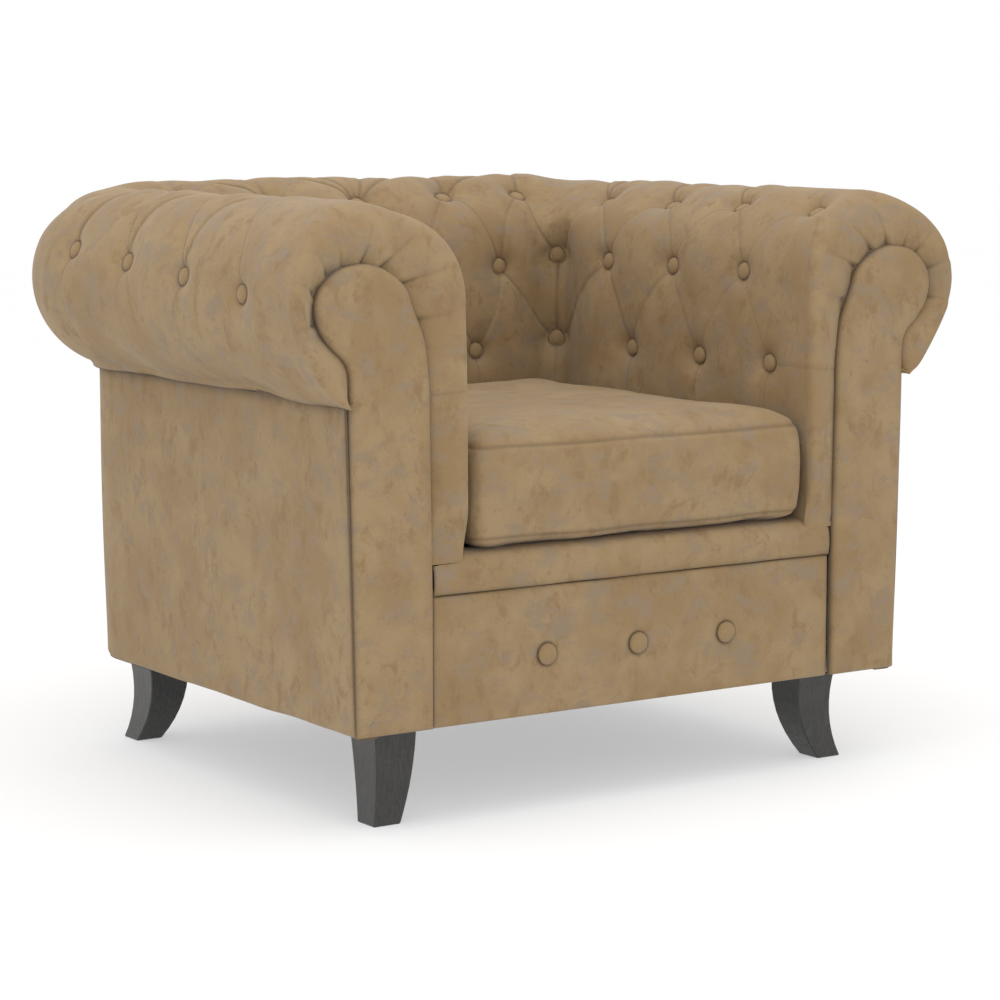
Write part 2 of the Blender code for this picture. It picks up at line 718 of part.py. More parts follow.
def main():
    clear_scene()
    fabric = principled("suede_fabric", (0.32, 0.24, 0.15), 0.85)
    wood = principled("frame_timber", (0.62, 0.45, 0.26), 0.7)
    leg_wood = principled("black_stained_wood", (0.025, 0.022, 0.02), 0.35)
    steel = principled("spring_steel", (0.45, 0.45, 0.46), 0.35, 1.0)
    foam = principled("foam", (0.80, 0.74, 0.50), 0.95)
    lining = principled("black_lining", (0.02, 0.02, 0.02), 0.95)
    zip_metal = principled("zip_metal", (0.55, 0.50, 0.42), 0.3, 1.0)

    bores = make_bore_cutter()
    make_seat_rails(wood)
    make_corner_blocks(wood, bores)
    make_back_posts(wood)
    make_upper_rails(wood)
    make_springs(steel)
    make_deck(lining)
    make_lip(fabric)
    panel = make_front_panel(fabric)
    for name, x in zip(("left", "middle", "right"), BUTTON_X):
        make_front_button("front_button_" + name, x, fabric, panel)
    for name, side in (("left", -1), ("right", 1)):
        make_front_board("arm_front_board_" + name, side, wood)
        make_arm_pad("arm_pad_" + name, side, fabric, make_board_cutter("cutter_board_" + name, side))
        make_facing("facing_" + name, side, fabric)
        make_outside_arm("outside_arm_" + name, side, fabric)
    make_back_pad(fabric)
    make_outside_back(fabric)
    make_cushion(fabric, foam, zip_metal)
    make_dust_cover(lining, bores)
    for end, side_y in (("front", -1), ("rear", 1)):
        for name, side_x in (("left", -1), ("right", 1)):
            make_leg(f"leg_{end}_{name}", side_x, side_y, leg_wood, bores)
            make_leg_bolt(f"leg_bolt_{end}_{name}", side_x, side_y, steel)


main()
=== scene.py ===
"""Looks of the upholstered armchair: tufted padding, cushion, covers, legs, stage and camera.

Metres, +Z up. The chair faces -Y, and +X is on the right of someone who looks at its front.
The arms and the back are one tub, drawn as a grid. Its stations run along the tub, from the front of the
right arm to the front of the left arm. Its columns run up the inner face, over the roll and under it.
An offset is a distance outwards from the middle of the roll.
"""

import json
import math

import bmesh
import bpy
import numpy as np
from mathutils import Matrix, Vector


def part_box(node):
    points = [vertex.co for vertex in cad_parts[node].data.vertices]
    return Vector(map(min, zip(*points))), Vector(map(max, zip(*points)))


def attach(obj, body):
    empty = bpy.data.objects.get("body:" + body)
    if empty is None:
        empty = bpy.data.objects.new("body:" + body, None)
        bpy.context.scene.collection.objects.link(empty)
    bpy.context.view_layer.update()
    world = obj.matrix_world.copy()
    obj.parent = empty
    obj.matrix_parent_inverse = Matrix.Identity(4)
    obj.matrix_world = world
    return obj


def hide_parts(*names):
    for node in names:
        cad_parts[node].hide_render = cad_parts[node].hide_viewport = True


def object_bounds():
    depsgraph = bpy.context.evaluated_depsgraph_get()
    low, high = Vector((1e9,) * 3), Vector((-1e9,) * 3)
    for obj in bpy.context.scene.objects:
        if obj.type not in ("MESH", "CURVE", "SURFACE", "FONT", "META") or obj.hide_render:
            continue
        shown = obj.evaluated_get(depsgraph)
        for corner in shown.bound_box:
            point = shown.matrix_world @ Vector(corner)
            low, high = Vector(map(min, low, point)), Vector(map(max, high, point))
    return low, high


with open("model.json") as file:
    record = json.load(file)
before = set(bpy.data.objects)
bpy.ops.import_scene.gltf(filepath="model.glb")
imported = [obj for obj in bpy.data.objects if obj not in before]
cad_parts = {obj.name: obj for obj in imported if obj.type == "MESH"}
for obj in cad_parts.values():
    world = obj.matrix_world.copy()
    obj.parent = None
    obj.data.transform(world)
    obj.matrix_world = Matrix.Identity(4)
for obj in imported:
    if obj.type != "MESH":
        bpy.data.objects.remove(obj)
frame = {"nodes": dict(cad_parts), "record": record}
CAD_LOW, CAD_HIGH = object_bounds()

# The tub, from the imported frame
FRONT_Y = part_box("facing_right")[0].y
ROLL_RADIUS = 0.120
BACK_RISE = 0.007  # how much higher the roll's top is along the back
CORNER_DROP = 0.005  # and how much lower it is in the rear corners
ROLL_X = CAD_HIGH.x - ROLL_RADIUS
ROLL_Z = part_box("arm_pad_right")[1].z - ROLL_RADIUS
ROLL_BACK_Y = CAD_HIGH.y - ROLL_RADIUS
CORNER_RADIUS = 0.090
INNER_CORNER_RADIUS = 0.030
UNDERSIDE_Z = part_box("front_panel")[0].z
FACING_INNER_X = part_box("facing_right")[0].x
PAD_FOOT_Z = 0.320
TUCK_OFFSET = 0.040
TUCK_Z = 0.514
ROLL_END_DEGREES = -20
PANEL_TOP_Z = 0.511
PANEL_FRONT_OFFSETS = (0.033, 0.042)  # of the outside panel's foot and top
PANEL_REAR_OFFSETS = (0.026, 0.031)
CLOTH_THICKNESS = 0.003

# Front end of the arms
ARM_START_Y = FRONT_Y + 0.009
SIDE_ROUND = 0.002
SIDE_BULGE = 0.0175
SIDE_OVERSHOOT = 0.10
TOP_ROUND = 0.054
TOP_BULGE = 0.006
STRAIGHT_UNDER_END = 0.080
ROUND_UNDER_START = 0.190
HEAD_OUTLINE = (
    (FACING_INNER_X + 0.0048, 0.5394),
    *((0.3209, 0.5883), (0.337, 0.6289), (0.346, 0.652), (0.3616, 0.6675), (0.3816, 0.6787)),
    *((0.4057, 0.684), (0.4348, 0.6798), (0.4537, 0.6690), (0.4690, 0.6505), (0.4725, 0.628)),
    *((0.4654, 0.605), (0.450, 0.5857), (0.434, 0.5704), (0.4271, 0.5525), (0.4275, 0.5161)),
)

# Grid steps
CURVE_STEPS = 12
FRONT_STEPS = 28
ARM_STEPS = 205
CORNER_STEPS = 90
BACK_STEPS = 105
FACE_STEPS = 120
ROLL_STEPS = 160
UNDER_STEPS = 28
HIDDEN_STEPS = 5
SHOWN_COLUMNS = FACE_STEPS + ROLL_STEPS + UNDER_STEPS

# Tufting: places along the tub, from the front of an arm to the middle of the back.
# A place on an arm is its distance behind the front, and one on the back is its distance from the middle.
OUTER_ARM = ((0.139, 4), (0.283, 11), (0.437, 17), (0.585, 22))
OUTER_BACK = (0.207, 0.071)
OUTER_BACK_DEGREES = 22
TOP_ARM = (0.077, 0.232, 0.386, 0.540)
TOP_BACK = (0.272, 0.143, 0.0)
TOP_DEGREES = 118.5
UPPER_ARM = (0.157, 0.311, 0.460)
UPPER_BACK = (0.203, 0.071)
UPPER_Z = 0.648
LOWER_ARM = (0.096, 0.246, 0.401)
LOWER_BACK = (0.158, 0.0)
LOWER_Z = 0.529
BACK_DROP = 0.013
CORNER_PULL = (0.030, 0.006)
TUFT_RADIUS = 0.0115
DIMPLE_DEPTH = {"outer": 0.0155, "top": 0.023, "upper": 0.0145, "lower": 0.013}
DIMPLE_WIDTH = {"outer": 0.018, "top": 0.022, "upper": 0.016, "lower": 0.014}

# Folds between two rows of buttons: number in the first row, number in the second, strength, bow along the tub
FOLDS = {
    ("outer", "top"): (
        *((0, 1, 0.5, -0.016), (1, 1, 0.75, 0.014), (1, 2, 0.75, -0.016), (2, 2, 0.8, 0.014)),
        *((2, 3, 0.8, -0.016), (3, 3, 0.85, 0.014), (4, 4, 0.7, 0.014), (4, 5, 0.7, -0.016)),
        *((5, 5, 0.7, 0.014), (5, 6, 0.7, -0.016), (4, 3, 0.7, 0.008), (6, 6, 0.7, -0.012)),
    ),
    ("top", "upper"): (
        *((0, 0, 0.35, 0.013), (1, 0, 0.55, -0.008), (1, 1, 0.5, 0.013), (2, 1, 0.6, -0.008)),
        *((2, 2, 0.55, 0.013), (3, 2, 0.65, -0.008), (3, 3, 0.8, 0.004), (4, 3, 1.0, -0.004)),
        *((4, 4, 0.7, 0.008), (5, 4, 0.75, -0.009), (5, 5, 0.7, 0.009), (6, 5, 0.7, -0.009)),
    ),
    ("upper", "lower"): (
        *((0, 0, 0.15, -0.008), (0, 1, 0.15, 0.008), (1, 1, 0.2, -0.008), (1, 2, 0.3, 0.008)),
        *((2, 2, 0.5, -0.008), (2, 3, 0.40, 0.006), (3, 3, 1.0, 0.0), (4, 3, 0.95, 0.0)),
        *((4, 4, 0.55, -0.007), (5, 4, 0.85, 0.0), (5, 5, 0.55, 0.007)),
    ),
}

# Loose cushion
CUSHION_SHIFT = (0.006, -0.005)
CUSHION_LOW, CUSHION_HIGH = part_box("cushion_cover")
CUSHION_CORNER = 0.016
CUSHION_COLUMNS = 240
COVER_MARGIN = 0.003
FOAM_MARGIN = 0.011
BOXING_SEAMS = (0.012, 0.124)
ZIP_RECESS = -0.0012
ZIP_HALF = 0.205
ZIP_CLEAR = 0.240
TOOTH_PITCH = 0.0025

# Camera, solved from the photo
CAMERA_PLACE = (-2.2867, FRONT_Y - 3.0318, 0.8743)
CAMERA_DOWN_DEGREES = 7.453
CAMERA_TURN_DEGREES = -34.304
CAMERA_LENS = 110.5


# Materials

SOCKETS = {
    "sheen_weight": "Sheen Weight",
    "sheen_roughness": "Sheen Roughness",
    "sheen_tint": "Sheen Tint",
    "specular": "Specular IOR Level",
    "coat_weight": "Coat Weight",
    "coat_roughness": "Coat Roughness",
    "metallic": "Metallic",
    "glow": "Emission Color",
    "glow_strength": "Emission Strength",
}


class Shader:
    """A node material under construction."""

    def __init__(self, name):
        self.material = bpy.data.materials.new(name)
        self.material.use_nodes = True
        self.nodes = self.material.node_tree.nodes
        self.links = self.material.node_tree.links
        self.surface = self.nodes["Principled BSDF"]
        self.place = self.nodes.new("ShaderNodeTexCoord").outputs["Object"]

    def link(self, source, target):
        self.links.new(source, target)

    def stretched(self, scale):
        mapping = self.nodes.new("ShaderNodeMapping")
        mapping.inputs["Scale"].default_value = scale
        self.link(self.place, mapping.inputs["Vector"])
        return mapping.outputs["Vector"]

    def noise(self, scale, detail=4.0, roughness=0.6, distortion=0.0, vector=None):
        node = self.nodes.new("ShaderNodeTexNoise")
        node.inputs["Scale"].default_value = scale
        node.inputs["Detail"].default_value = detail
        node.inputs["Roughness"].default_value = roughness
        node.inputs["Distortion"].default_value = distortion
        self.link(vector or self.place, node.inputs["Vector"])
        return node.outputs["Fac"]

    def ranged(self, value, low, high, to_low=0.0, to_high=1.0):
        node = self.nodes.new("ShaderNodeMapRange")
        node.interpolation_type = "SMOOTHSTEP"
        for socket, number in zip(("From Min", "From Max", "To Min", "To Max"), (low, high, to_low, to_high)):
            node.inputs[socket].default_value = number
        self.link(value, node.inputs["Value"])
        return node.outputs["Result"]

    def attribute(self, name):
        node = self.nodes.new("ShaderNodeAttribute")
        node.attribute_name = name
        return node.outputs["Fac"]

    def mix(self, factor, first, second, blend="MIX"):
        node = self.nodes.new("ShaderNodeMix")
        node.data_type = "RGBA"
        node.blend_type = blend
        self.link(factor, node.inputs["Factor"])
        for socket, value in ((node.inputs[6], first), (node.inputs[7], second)):
            if isinstance(value, tuple):
                socket.default_value = (*value, 1.0)
            else:
                self.link(value, socket)
        return node.outputs[2]

    def bump(self, height, distance, strength, previous=None):
        node = self.nodes.new("ShaderNodeBump")
        node.inputs["Distance"].default_value = distance
        node.inputs["Strength"].default_value = strength
        self.link(height, node.inputs["Height"])
        if previous:
            self.link(previous, node.inputs["Normal"])
        return node.outputs["Normal"]

    def finish(self, colour, roughness, normal=None, **constants):
        if isinstance(colour, tuple):
            self.surface.inputs["Base Color"].default_value = (*colour, 1.0)
        else:
            self.link(colour, self.surface.inputs["Base Color"])
        if isinstance(roughness, float):
            self.surface.inputs["Roughness"].default_value = roughness
        else:
            self.link(roughness, self.surface.inputs["Roughness"])
        if normal:
            self.link(normal, self.surface.inputs["Normal"])
        for socket, value in constants.items():
            self.surface.inputs[SOCKETS[socket]].default_value = value
        return self.material


def suede_material():
    """Tan suede-look microfibre: cloudy light and mauve-brown patches, a short nap, and shade painted into
    creases, seams and button rims.
    """
    shader = Shader("suede_fabric")
    cloud = shader.ranged(shader.noise(11, 5, 0.62, 0.3), 0.36, 0.64)
    smear = shader.ranged(shader.noise(34, 6, 0.72, 0.3, shader.stretched((1.0, 1.0, 0.7))), 0.46, 0.70)
    mauve = shader.ranged(shader.noise(24, 6, 0.70, 0.2, shader.stretched((0.8, 1.1, 1.3))), 0.46, 0.68)
    blotch = shader.ranged(shader.noise(56, 7, 0.74, 0.3), 0.54, 0.76)
    grain = shader.noise(520, 3, 0.6)
    colour = shader.mix(cloud, (0.272, 0.179, 0.086), (0.322, 0.227, 0.122))
    colour = shader.mix(shader.ranged(smear, 0, 1, 0, 0.85), colour, (0.236, 0.150, 0.071))
    colour = shader.mix(shader.ranged(mauve, 0, 1, 0, 0.95), colour, (0.262, 0.194, 0.128))
    colour = shader.mix(shader.ranged(blotch, 0, 1, 0, 0.70), colour, (0.202, 0.127, 0.065))
    colour = shader.mix(shader.ranged(grain, 0.3, 0.7, 0.0, 0.16), colour, (0.202, 0.134, 0.068))
    # Painted shade: deep brown where the stored attribute marks creases, seams, tucks and button rims.
    colour = shader.mix(shader.attribute("painted_shade"), colour, (0.075, 0.050, 0.030))
    nap = shader.bump(grain, 0.0005, 0.35)
    nap = shader.bump(shader.noise(150, 5, 0.65, 0.5), 0.0012, 0.30, nap)
    nap = shader.bump(shader.noise(38, 4, 0.55, 0.6), 0.0040, 0.22, nap)
    rough = shader.ranged(cloud, 0, 1, 0.78, 0.90)
    return shader.finish(
        colour,
        rough,
        nap,
        sheen_weight=0.14,
        sheen_roughness=0.45,
        sheen_tint=(1.0, 0.93, 0.84, 1.0),
        specular=0.25,
    )


def black_wood_material():
    """Black stained hardwood under satin lacquer, with its pores along the leg."""
    shader = Shader("black_wood")
    pores = shader.noise(60, 6, 0.7, 0.4, shader.stretched((7.0, 7.0, 0.7)))
    wear = shader.ranged(shader.noise(45, 4, 0.6, 0.8), 0.55, 0.75, 0.0, 0.6)
    colour = shader.mix(shader.ranged(pores, 0.40, 0.62), (0.010, 0.009, 0.008), (0.026, 0.023, 0.021))
    colour = shader.mix(wear, colour, (0.040, 0.036, 0.032))
    rough = shader.ranged(pores, 0.35, 0.65, 0.40, 0.30)
    grain = shader.bump(pores, 0.0004, 0.35)
    return shader.finish(colour, rough, grain, coat_weight=0.25, coat_roughness=0.22)


def timber_material():
    """Planed softwood with growth rings stretched along the boards."""
    shader = Shader("frame_timber")
    rings = shader.noise(30, 6, 0.65, 1.5, shader.stretched((1.0, 1.0, 4.0)))
    fibres = shader.noise(260, 4, 0.7)
    colour = shader.mix(shader.ranged(rings, 0.35, 0.65), (0.60, 0.43, 0.24), (0.44, 0.28, 0.13))
    colour = shader.mix(shader.ranged(fibres, 0.3, 0.7, 0.0, 0.4), colour, (0.70, 0.55, 0.35))
    return shader.finish(colour, shader.ranged(rings, 0.3, 0.7, 0.62, 0.74), shader.bump(fibres, 0.0004, 0.3))


def metal_material(name, colour, stain, roughness):
    """Metal with drawing marks and cloudy stains."""
    shader = Shader(name)
    marks = shader.noise(900, 3, 0.6, 0.0, shader.stretched((1.0, 1.0, 0.2)))
    cloud = shader.ranged(shader.noise(120, 5, 0.6), 0.4, 0.7)
    rough = shader.ranged(marks, 0.3, 0.7, roughness - 0.06, roughness + 0.08)
    scratched = shader.bump(marks, 0.0001, 0.3)
    return shader.finish(shader.mix(cloud, colour, stain), rough, scratched, metallic=1.0)


def foam_material():
    """Open cell foam."""
    shader = Shader("foam")
    cells = shader.noise(700, 5, 0.75)
    colour = shader.mix(shader.ranged(cells, 0.35, 0.65), (0.62, 0.54, 0.33), (0.85, 0.78, 0.55))
    return shader.finish(colour, 0.95, shader.bump(cells, 0.0012, 0.8))


def lining_material():
    """Black non-woven lining: matted fibres, with a cloudy roughness."""
    shader = Shader("black_lining")
    fibres = shader.noise(420, 6, 0.75, 2.0)
    cloud = shader.noise(40, 3, 0.5)
    colour = shader.mix(shader.ranged(fibres, 0.35, 0.65), (0.012, 0.012, 0.013), (0.034, 0.034, 0.036))
    return shader.finish(colour, shader.ranged(cloud, 0.3, 0.7, 0.85, 0.96), shader.bump(fibres, 0.0006, 0.6))


# Geometry helpers


def smooth_max(value, floor, blend):
    return 0.5 * (value + floor + np.sqrt((value - floor) ** 2 + blend**2))


def eased(share):
    """The share, kept within 0 to 1, with a soft start and end."""
    share = np.clip(share, 0, 1)
    return share * share * (3 - 2 * share)


def smooth_curve(points):
    """Catmull-Rom curve through the points."""
    points = np.asarray(points, float)
    points = np.vstack([2 * points[:1] - points[1:2], points, 2 * points[-1:] - points[-2:-1]])
    t = np.linspace(0, 1, CURVE_STEPS, endpoint=False)[:, None]
    spans = []
    for a, b, c, d in zip(points, points[1:], points[2:], points[3:]):
        square, cube = 2 * a - 5 * b + 4 * c - d, 3 * b - a - 3 * c + d
        spans.append(0.5 * (2 * b + (c - a) * t + square * t**2 + cube * t**3))
    return np.vstack([*spans, points[-2:-1]])


def resampled(points, count):
    """The polyline with `count` equal steps."""
    points = np.asarray(points, float)
    lengths = np.concatenate([[0], np.cumsum(np.linalg.norm(np.diff(points, axis=0), axis=1))])
    wanted = np.linspace(0, lengths[-1], count + 1)
    return np.stack([np.interp(wanted, lengths, points[:, k]) for k in range(points.shape[1])], axis=1)


def ripple(points, seed, size, height):
    """Soft uneven swell of a stuffed surface: a few crossed waves about `size` long."""
    rng = np.random.default_rng(seed)
    total = np.zeros(points.shape[:-1])
    for _ in range(9):
        direction = rng.normal(size=3)
        direction *= 2 * math.pi / (size * rng.uniform(0.7, 1.6) * np.linalg.norm(direction))
        total += np.sin(points @ direction + rng.uniform(0, 2 * math.pi))
    return total * height / 3


def grid_faces(rows, columns, wrap=False):
    """Quads over a grid of vertices, row by row; `wrap` joins the last column to the first."""
    ids = np.arange(rows * columns).reshape(rows, columns)
    if wrap:
        ids = np.hstack([ids, ids[:, :1]])
    corners = [ids[:-1, :-1], ids[:-1, 1:], ids[1:, 1:], ids[1:, :-1]]
    return np.stack(corners, axis=-1).reshape(-1, 4).tolist()


def capped_faces(rings, columns):
    """Faces of a closed loft: quads between its rings, and a cap at both ends."""
    faces = grid_faces(rings, columns, wrap=True)
    faces.append(list(range(columns))[::-1])
    faces.append(list(range((rings - 1) * columns, rings * columns)))
    return faces


def flipped(faces):
    return [face[::-1] for face in faces]


def linked(name, data):
    obj = bpy.data.objects.new(name, data)
    bpy.context.collection.objects.link(obj)
    return obj


def add_object(name, points, faces, material, body="chair"):
    """A smooth mesh object that rides on a body."""
    mesh = bpy.data.meshes.new(name)
    mesh.from_pydata(np.asarray(points, float).reshape(-1, 3).tolist(), [], faces)
    mesh.validate()
    mesh.shade_smooth()
    mesh.materials.append(material)
    obj = linked(name, mesh)
    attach(obj, body)
    return obj


def add_thickness(obj, thickness=CLOTH_THICKNESS):
    solid = obj.modifiers.new("cloth_thickness", "SOLIDIFY")
    solid.thickness = thickness
    solid.offset = -1


def set_painted_shade(obj, values):
    """Stores how much shade the material paints at each point."""
    attribute = obj.data.attributes.new("painted_shade", "FLOAT", "POINT")
    attribute.data.foreach_set("value", np.asarray(values, np.float32).ravel())


# The tub


def plan_point(offset, degrees, along):
    """Plan position on the right half. At 0 degrees, the arm, `along` is y. At 90, the back, it is x."""
    radius = smooth_max(CORNER_RADIUS + offset, INNER_CORNER_RADIUS, 0.02)
    centre_x = ROLL_X + offset - radius
    centre_y = ROLL_BACK_Y + offset - radius
    if degrees == 0:
        return ROLL_X + offset, np.minimum(along, centre_y)
    if degrees == 90:
        return np.minimum(along, centre_x), ROLL_BACK_Y + offset
    angle = math.radians(degrees)
    return centre_x + radius * math.cos(angle), centre_y + radius * math.sin(angle)


def roll_arc(start, end, steps):
    """Offset and height of points round the roll: 0 degrees is its outer side, and 90 its top."""
    angles = np.radians(np.linspace(start, end, steps))
    return np.stack([ROLL_RADIUS * np.cos(angles), ROLL_Z + ROLL_RADIUS * np.sin(angles)], axis=1)


def roll_profile(under="round"):
    """Offset and height: up the inner face, over the roll, under it to the tuck, and back inside."""
    face = resampled([(-ROLL_RADIUS, PAD_FOOT_Z), (-ROLL_RADIUS, ROLL_Z)], FACE_STEPS)[:-1]
    roll = roll_arc(180, ROLL_END_DEGREES, ROLL_STEPS + 1)
    if under == "round":
        below = roll_arc(ROLL_END_DEGREES, -68, 13)
        below = np.vstack([below, (TUCK_OFFSET - 0.002, TUCK_Z + 0.003)])
    else:
        drop = (0.088, 0.556), (0.064, 0.526), (TUCK_OFFSET + 0.003, TUCK_Z)
        below = smooth_curve([roll[-8], roll[-1], *drop])[CURVE_STEPS:]
    below = resampled(below, UNDER_STEPS)[1:]
    hidden = np.array([(0.030, 0.530), (-0.050, 0.535), (-0.080, 0.520), (-0.085, 0.430), (-0.090, 0.330)])
    return np.vstack([face, roll, below, hidden])


def end_profile():
    """Offset and height of the same points where the padding meets the edge of the arm front."""
    outline = smooth_curve(HEAD_OUTLINE)
    roll_start, roll_end = 2 * CURVE_STEPS, 11 * CURVE_STEPS
    foot = [(FACING_INNER_X, PAD_FOOT_Z), (FACING_INNER_X + 0.001, 0.42)]
    face = resampled(np.vstack([foot, outline[: roll_start + 1]]), FACE_STEPS)[:-1]
    roll = resampled(outline[roll_start : roll_end + 1], ROLL_STEPS)
    under = resampled(outline[roll_end:], UNDER_STEPS)[1:]
    hidden = np.array([(0.410, 0.530), (0.350, 0.535), (0.335, 0.520), (0.330, 0.430), (0.330, 0.330)])
    profile = np.vstack([face, roll, under, hidden])
    profile[:, 0] -= ROLL_X
    return profile


def raised(z, turn):
    """Height after the roll's upper half is drawn up along the back and down in the corners."""
    rise = BACK_RISE * math.sin(turn) ** 4 - CORNER_DROP * math.sin(2 * turn) ** 2
    return z + np.maximum(0, z - ROLL_Z) / ROLL_RADIUS * rise


def front_rounding(profile):
    """Length of the front rounding at each point of the profile, and how far it bulges and overshoots."""
    upward = np.clip((profile[:, 1] - ROLL_Z) / ROLL_RADIUS, 0, 1) ** 3
    length = SIDE_ROUND + (TOP_ROUND - SIDE_ROUND) * upward
    bulge = SIDE_BULGE + (TOP_BULGE - SIDE_BULGE) * np.sqrt(upward)
    bulge *= eased((profile[:, 1] - PAD_FOOT_Z) / 0.07)
    overshoot = SIDE_OVERSHOOT * (1 - upward)
    bulge[-HIDDEN_STEPS:] = 0.0
    overshoot[-HIDDEN_STEPS:] = 0.0
    return length, bulge, overshoot


def arm_stations(corner_y):
    """Rows of points over the front rounding of the right arm, and back to its rear corner."""
    round_under, straight_under, end = roll_profile(), roll_profile("straight"), end_profile()
    length, bulge, overshoot = front_rounding(straight_under)
    rows = []
    for angle in np.radians(np.linspace(0, 90, FRONT_STEPS, endpoint=False)):
        reach = math.sin(angle) + overshoot * math.sin(2 * angle)
        across = end + (straight_under - end) * reach[:, None]
        y = ARM_START_Y + length * (1 - math.cos(angle)) - bulge * math.sin(2 * angle)
        rows.append(np.stack([ROLL_X + across[:, 0], y, across[:, 1]], axis=1))
    start_y = ARM_START_Y + length
    for share in np.linspace(0, 1, ARM_STEPS, endpoint=False):
        y = start_y + (corner_y - start_y) * share
        turned = eased((y - FRONT_Y - STRAIGHT_UNDER_END) / (ROUND_UNDER_START - STRAIGHT_UNDER_END))
        across = straight_under + (round_under - straight_under) * turned[:, None]
        rows.append(np.stack([ROLL_X + across[:, 0], y, across[:, 1]], axis=1))
    return rows


def right_stations():
    """Rows of points from the front of the right arm to the middle of the back."""
    offset, height = roll_profile().T
    corner_x, corner_y = plan_point(offset, 90, 9.0)[0], plan_point(offset, 0, 9.0)[1]
    rows = arm_stations(corner_y)
    for degrees in np.linspace(0, 90, CORNER_STEPS, endpoint=False):
        x, y = plan_point(offset, max(degrees, 0.001), 0.0)
        rows.append(np.stack([x, y, raised(height, math.radians(degrees))], axis=1))
    high = raised(height, math.pi / 2)
    for share in np.linspace(0, 1, BACK_STEPS + 1):
        rows.append(np.stack([corner_x * (1 - share), ROLL_BACK_Y + offset, high], axis=1))
    return deepened_corner(np.array(rows))


def deepened_corner(rows):
    """Draws the inner face back into the rear corner, where the buttons pull it deepest."""
    x, y = plan_point(-ROLL_RADIUS, 45, 0.0)
    away = np.hypot(rows[:, :, 0] - x, rows[:, :, 1] - y)
    pull = np.exp(-((away / 0.060) ** 2)) * eased((ROLL_Z + 0.085 - rows[:, :, 2]) / 0.09)
    pull[:, FACE_STEPS + ROLL_STEPS // 2 :] = 0.0
    rows[:, :, 0] += CORNER_PULL[0] * pull
    rows[:, :, 1] += CORNER_PULL[1] * pull
    return rows


def tub_grid():
    right = right_stations()
    left = right[-2::-1] * (-1, 1, 1)
    return np.concatenate([right, left])


def grid_normals(grid):
    along = np.gradient(grid, axis=0)
    around = np.roll(grid, -1, axis=1) - np.roll(grid, 1, axis=1)
    normals = np.cross(around, along)
    return normals / np.maximum(np.linalg.norm(normals, axis=2, keepdims=True), 1e-12)


# Tufting


def roll_spot(degrees):
    angle = math.radians(degrees)
    return ROLL_RADIUS * math.cos(angle), ROLL_Z + ROLL_RADIUS * math.sin(angle)


def button_spots():
    """Where each button of the right half is, by row and number, from the front to the middle of the back."""
    spots = {}

    def place(row, number, offset, z, degrees, along):
        x, y = plan_point(offset, degrees, along)
        spots[row, number] = np.array([x, y, raised(z, math.radians(degrees))])

    for number, (distance, degrees) in enumerate(OUTER_ARM):
        place("outer", number, *roll_spot(degrees), 0, FRONT_Y + distance)
    place("outer", 4, *roll_spot(OUTER_BACK_DEGREES), 45, 0.0)
    for number, x in enumerate(OUTER_BACK, start=5):
        place("outer", number, *roll_spot(OUTER_BACK_DEGREES), 90, x)
    for number, distance in enumerate(TOP_ARM):
        place("top", number, *roll_spot(TOP_DEGREES), 0, FRONT_Y + distance)
    for number, x in enumerate(TOP_BACK, start=4):
        place("top", number, *roll_spot(TOP_DEGREES), 90, x)
    inner = (("upper", UPPER_ARM, UPPER_BACK, UPPER_Z), ("lower", LOWER_ARM, LOWER_BACK, LOWER_Z))
    for row, arm, back, z in inner:
        for number, distance in enumerate(arm):
            place(row, number, -ROLL_RADIUS, z, 0, FRONT_Y + distance)
        place(row, 3, -ROLL_RADIUS, z, 45, 0.0)
        spots[row, 3] += (*CORNER_PULL, 0.0)
        for number, x in enumerate(back, start=4):
            place(row, number, -ROLL_RADIUS, z - BACK_DROP, 90, x)
    return spots


def tub_lengths(grid):
    """Distance along the tub from the front of the right arm, for each station of each column."""
    steps = np.linalg.norm(np.diff(grid, axis=0), axis=2)
    return np.vstack([np.zeros(grid.shape[1]), np.cumsum(steps, axis=0)])


def path_places(lengths, start, end, bow=0.0, count=56):
    """Fractional grid places of a line over the cloth from start to end, bowed along the tub by `bow`."""
    share = np.linspace(0, 1, count)
    columns = start[1] + (end[1] - start[1]) * share
    stations = []
    for t, column in zip(share, columns):
        measure = lengths[:, int(round(column))]
        first, last = np.interp((start[0], end[0]), np.arange(len(measure)), measure)
        wanted = first + (last - first) * t + bow * math.sin(math.pi * t)
        stations.append(np.interp(wanted, measure, np.arange(len(measure))))
    return np.stack([stations, columns], axis=1)


def sample_grid(grid, places):
    """Points of the grid at fractional places."""
    low = np.clip(np.floor(places).astype(int), 0, np.array(grid.shape[:2]) - 2)
    u, v = (places - low).T[:, :, None]
    i, j = low.T
    near = grid[i, j] * (1 - v) + grid[i, j + 1] * v
    far = grid[i + 1, j] * (1 - v) + grid[i + 1, j + 1] * v
    return near * (1 - u) + far * u


def nearest_place(grid, point):
    distance = np.linalg.norm(grid - point, axis=2)
    return np.array(np.unravel_index(distance.argmin(), distance.shape))


def near_path(points, path):
    """For each point: distance to the path, and the share, place and heading of the path there."""
    best = np.full(len(points), np.inf)
    share = np.zeros(len(points))
    foot = np.zeros_like(points)
    heading = np.zeros_like(points)
    for k, (a, b) in enumerate(zip(path, path[1:])):
        step = b - a
        t = np.clip((points - a) @ step / max(step @ step, 1e-15), 0, 1)
        close = a + t[:, None] * step
        distance = np.linalg.norm(points - close, axis=1)
        better = distance < best
        best[better] = distance[better]
        share[better] = ((k + t) / (len(path) - 1))[better]
        foot[better] = close[better]
        heading[better] = step
    return best, share, foot, heading


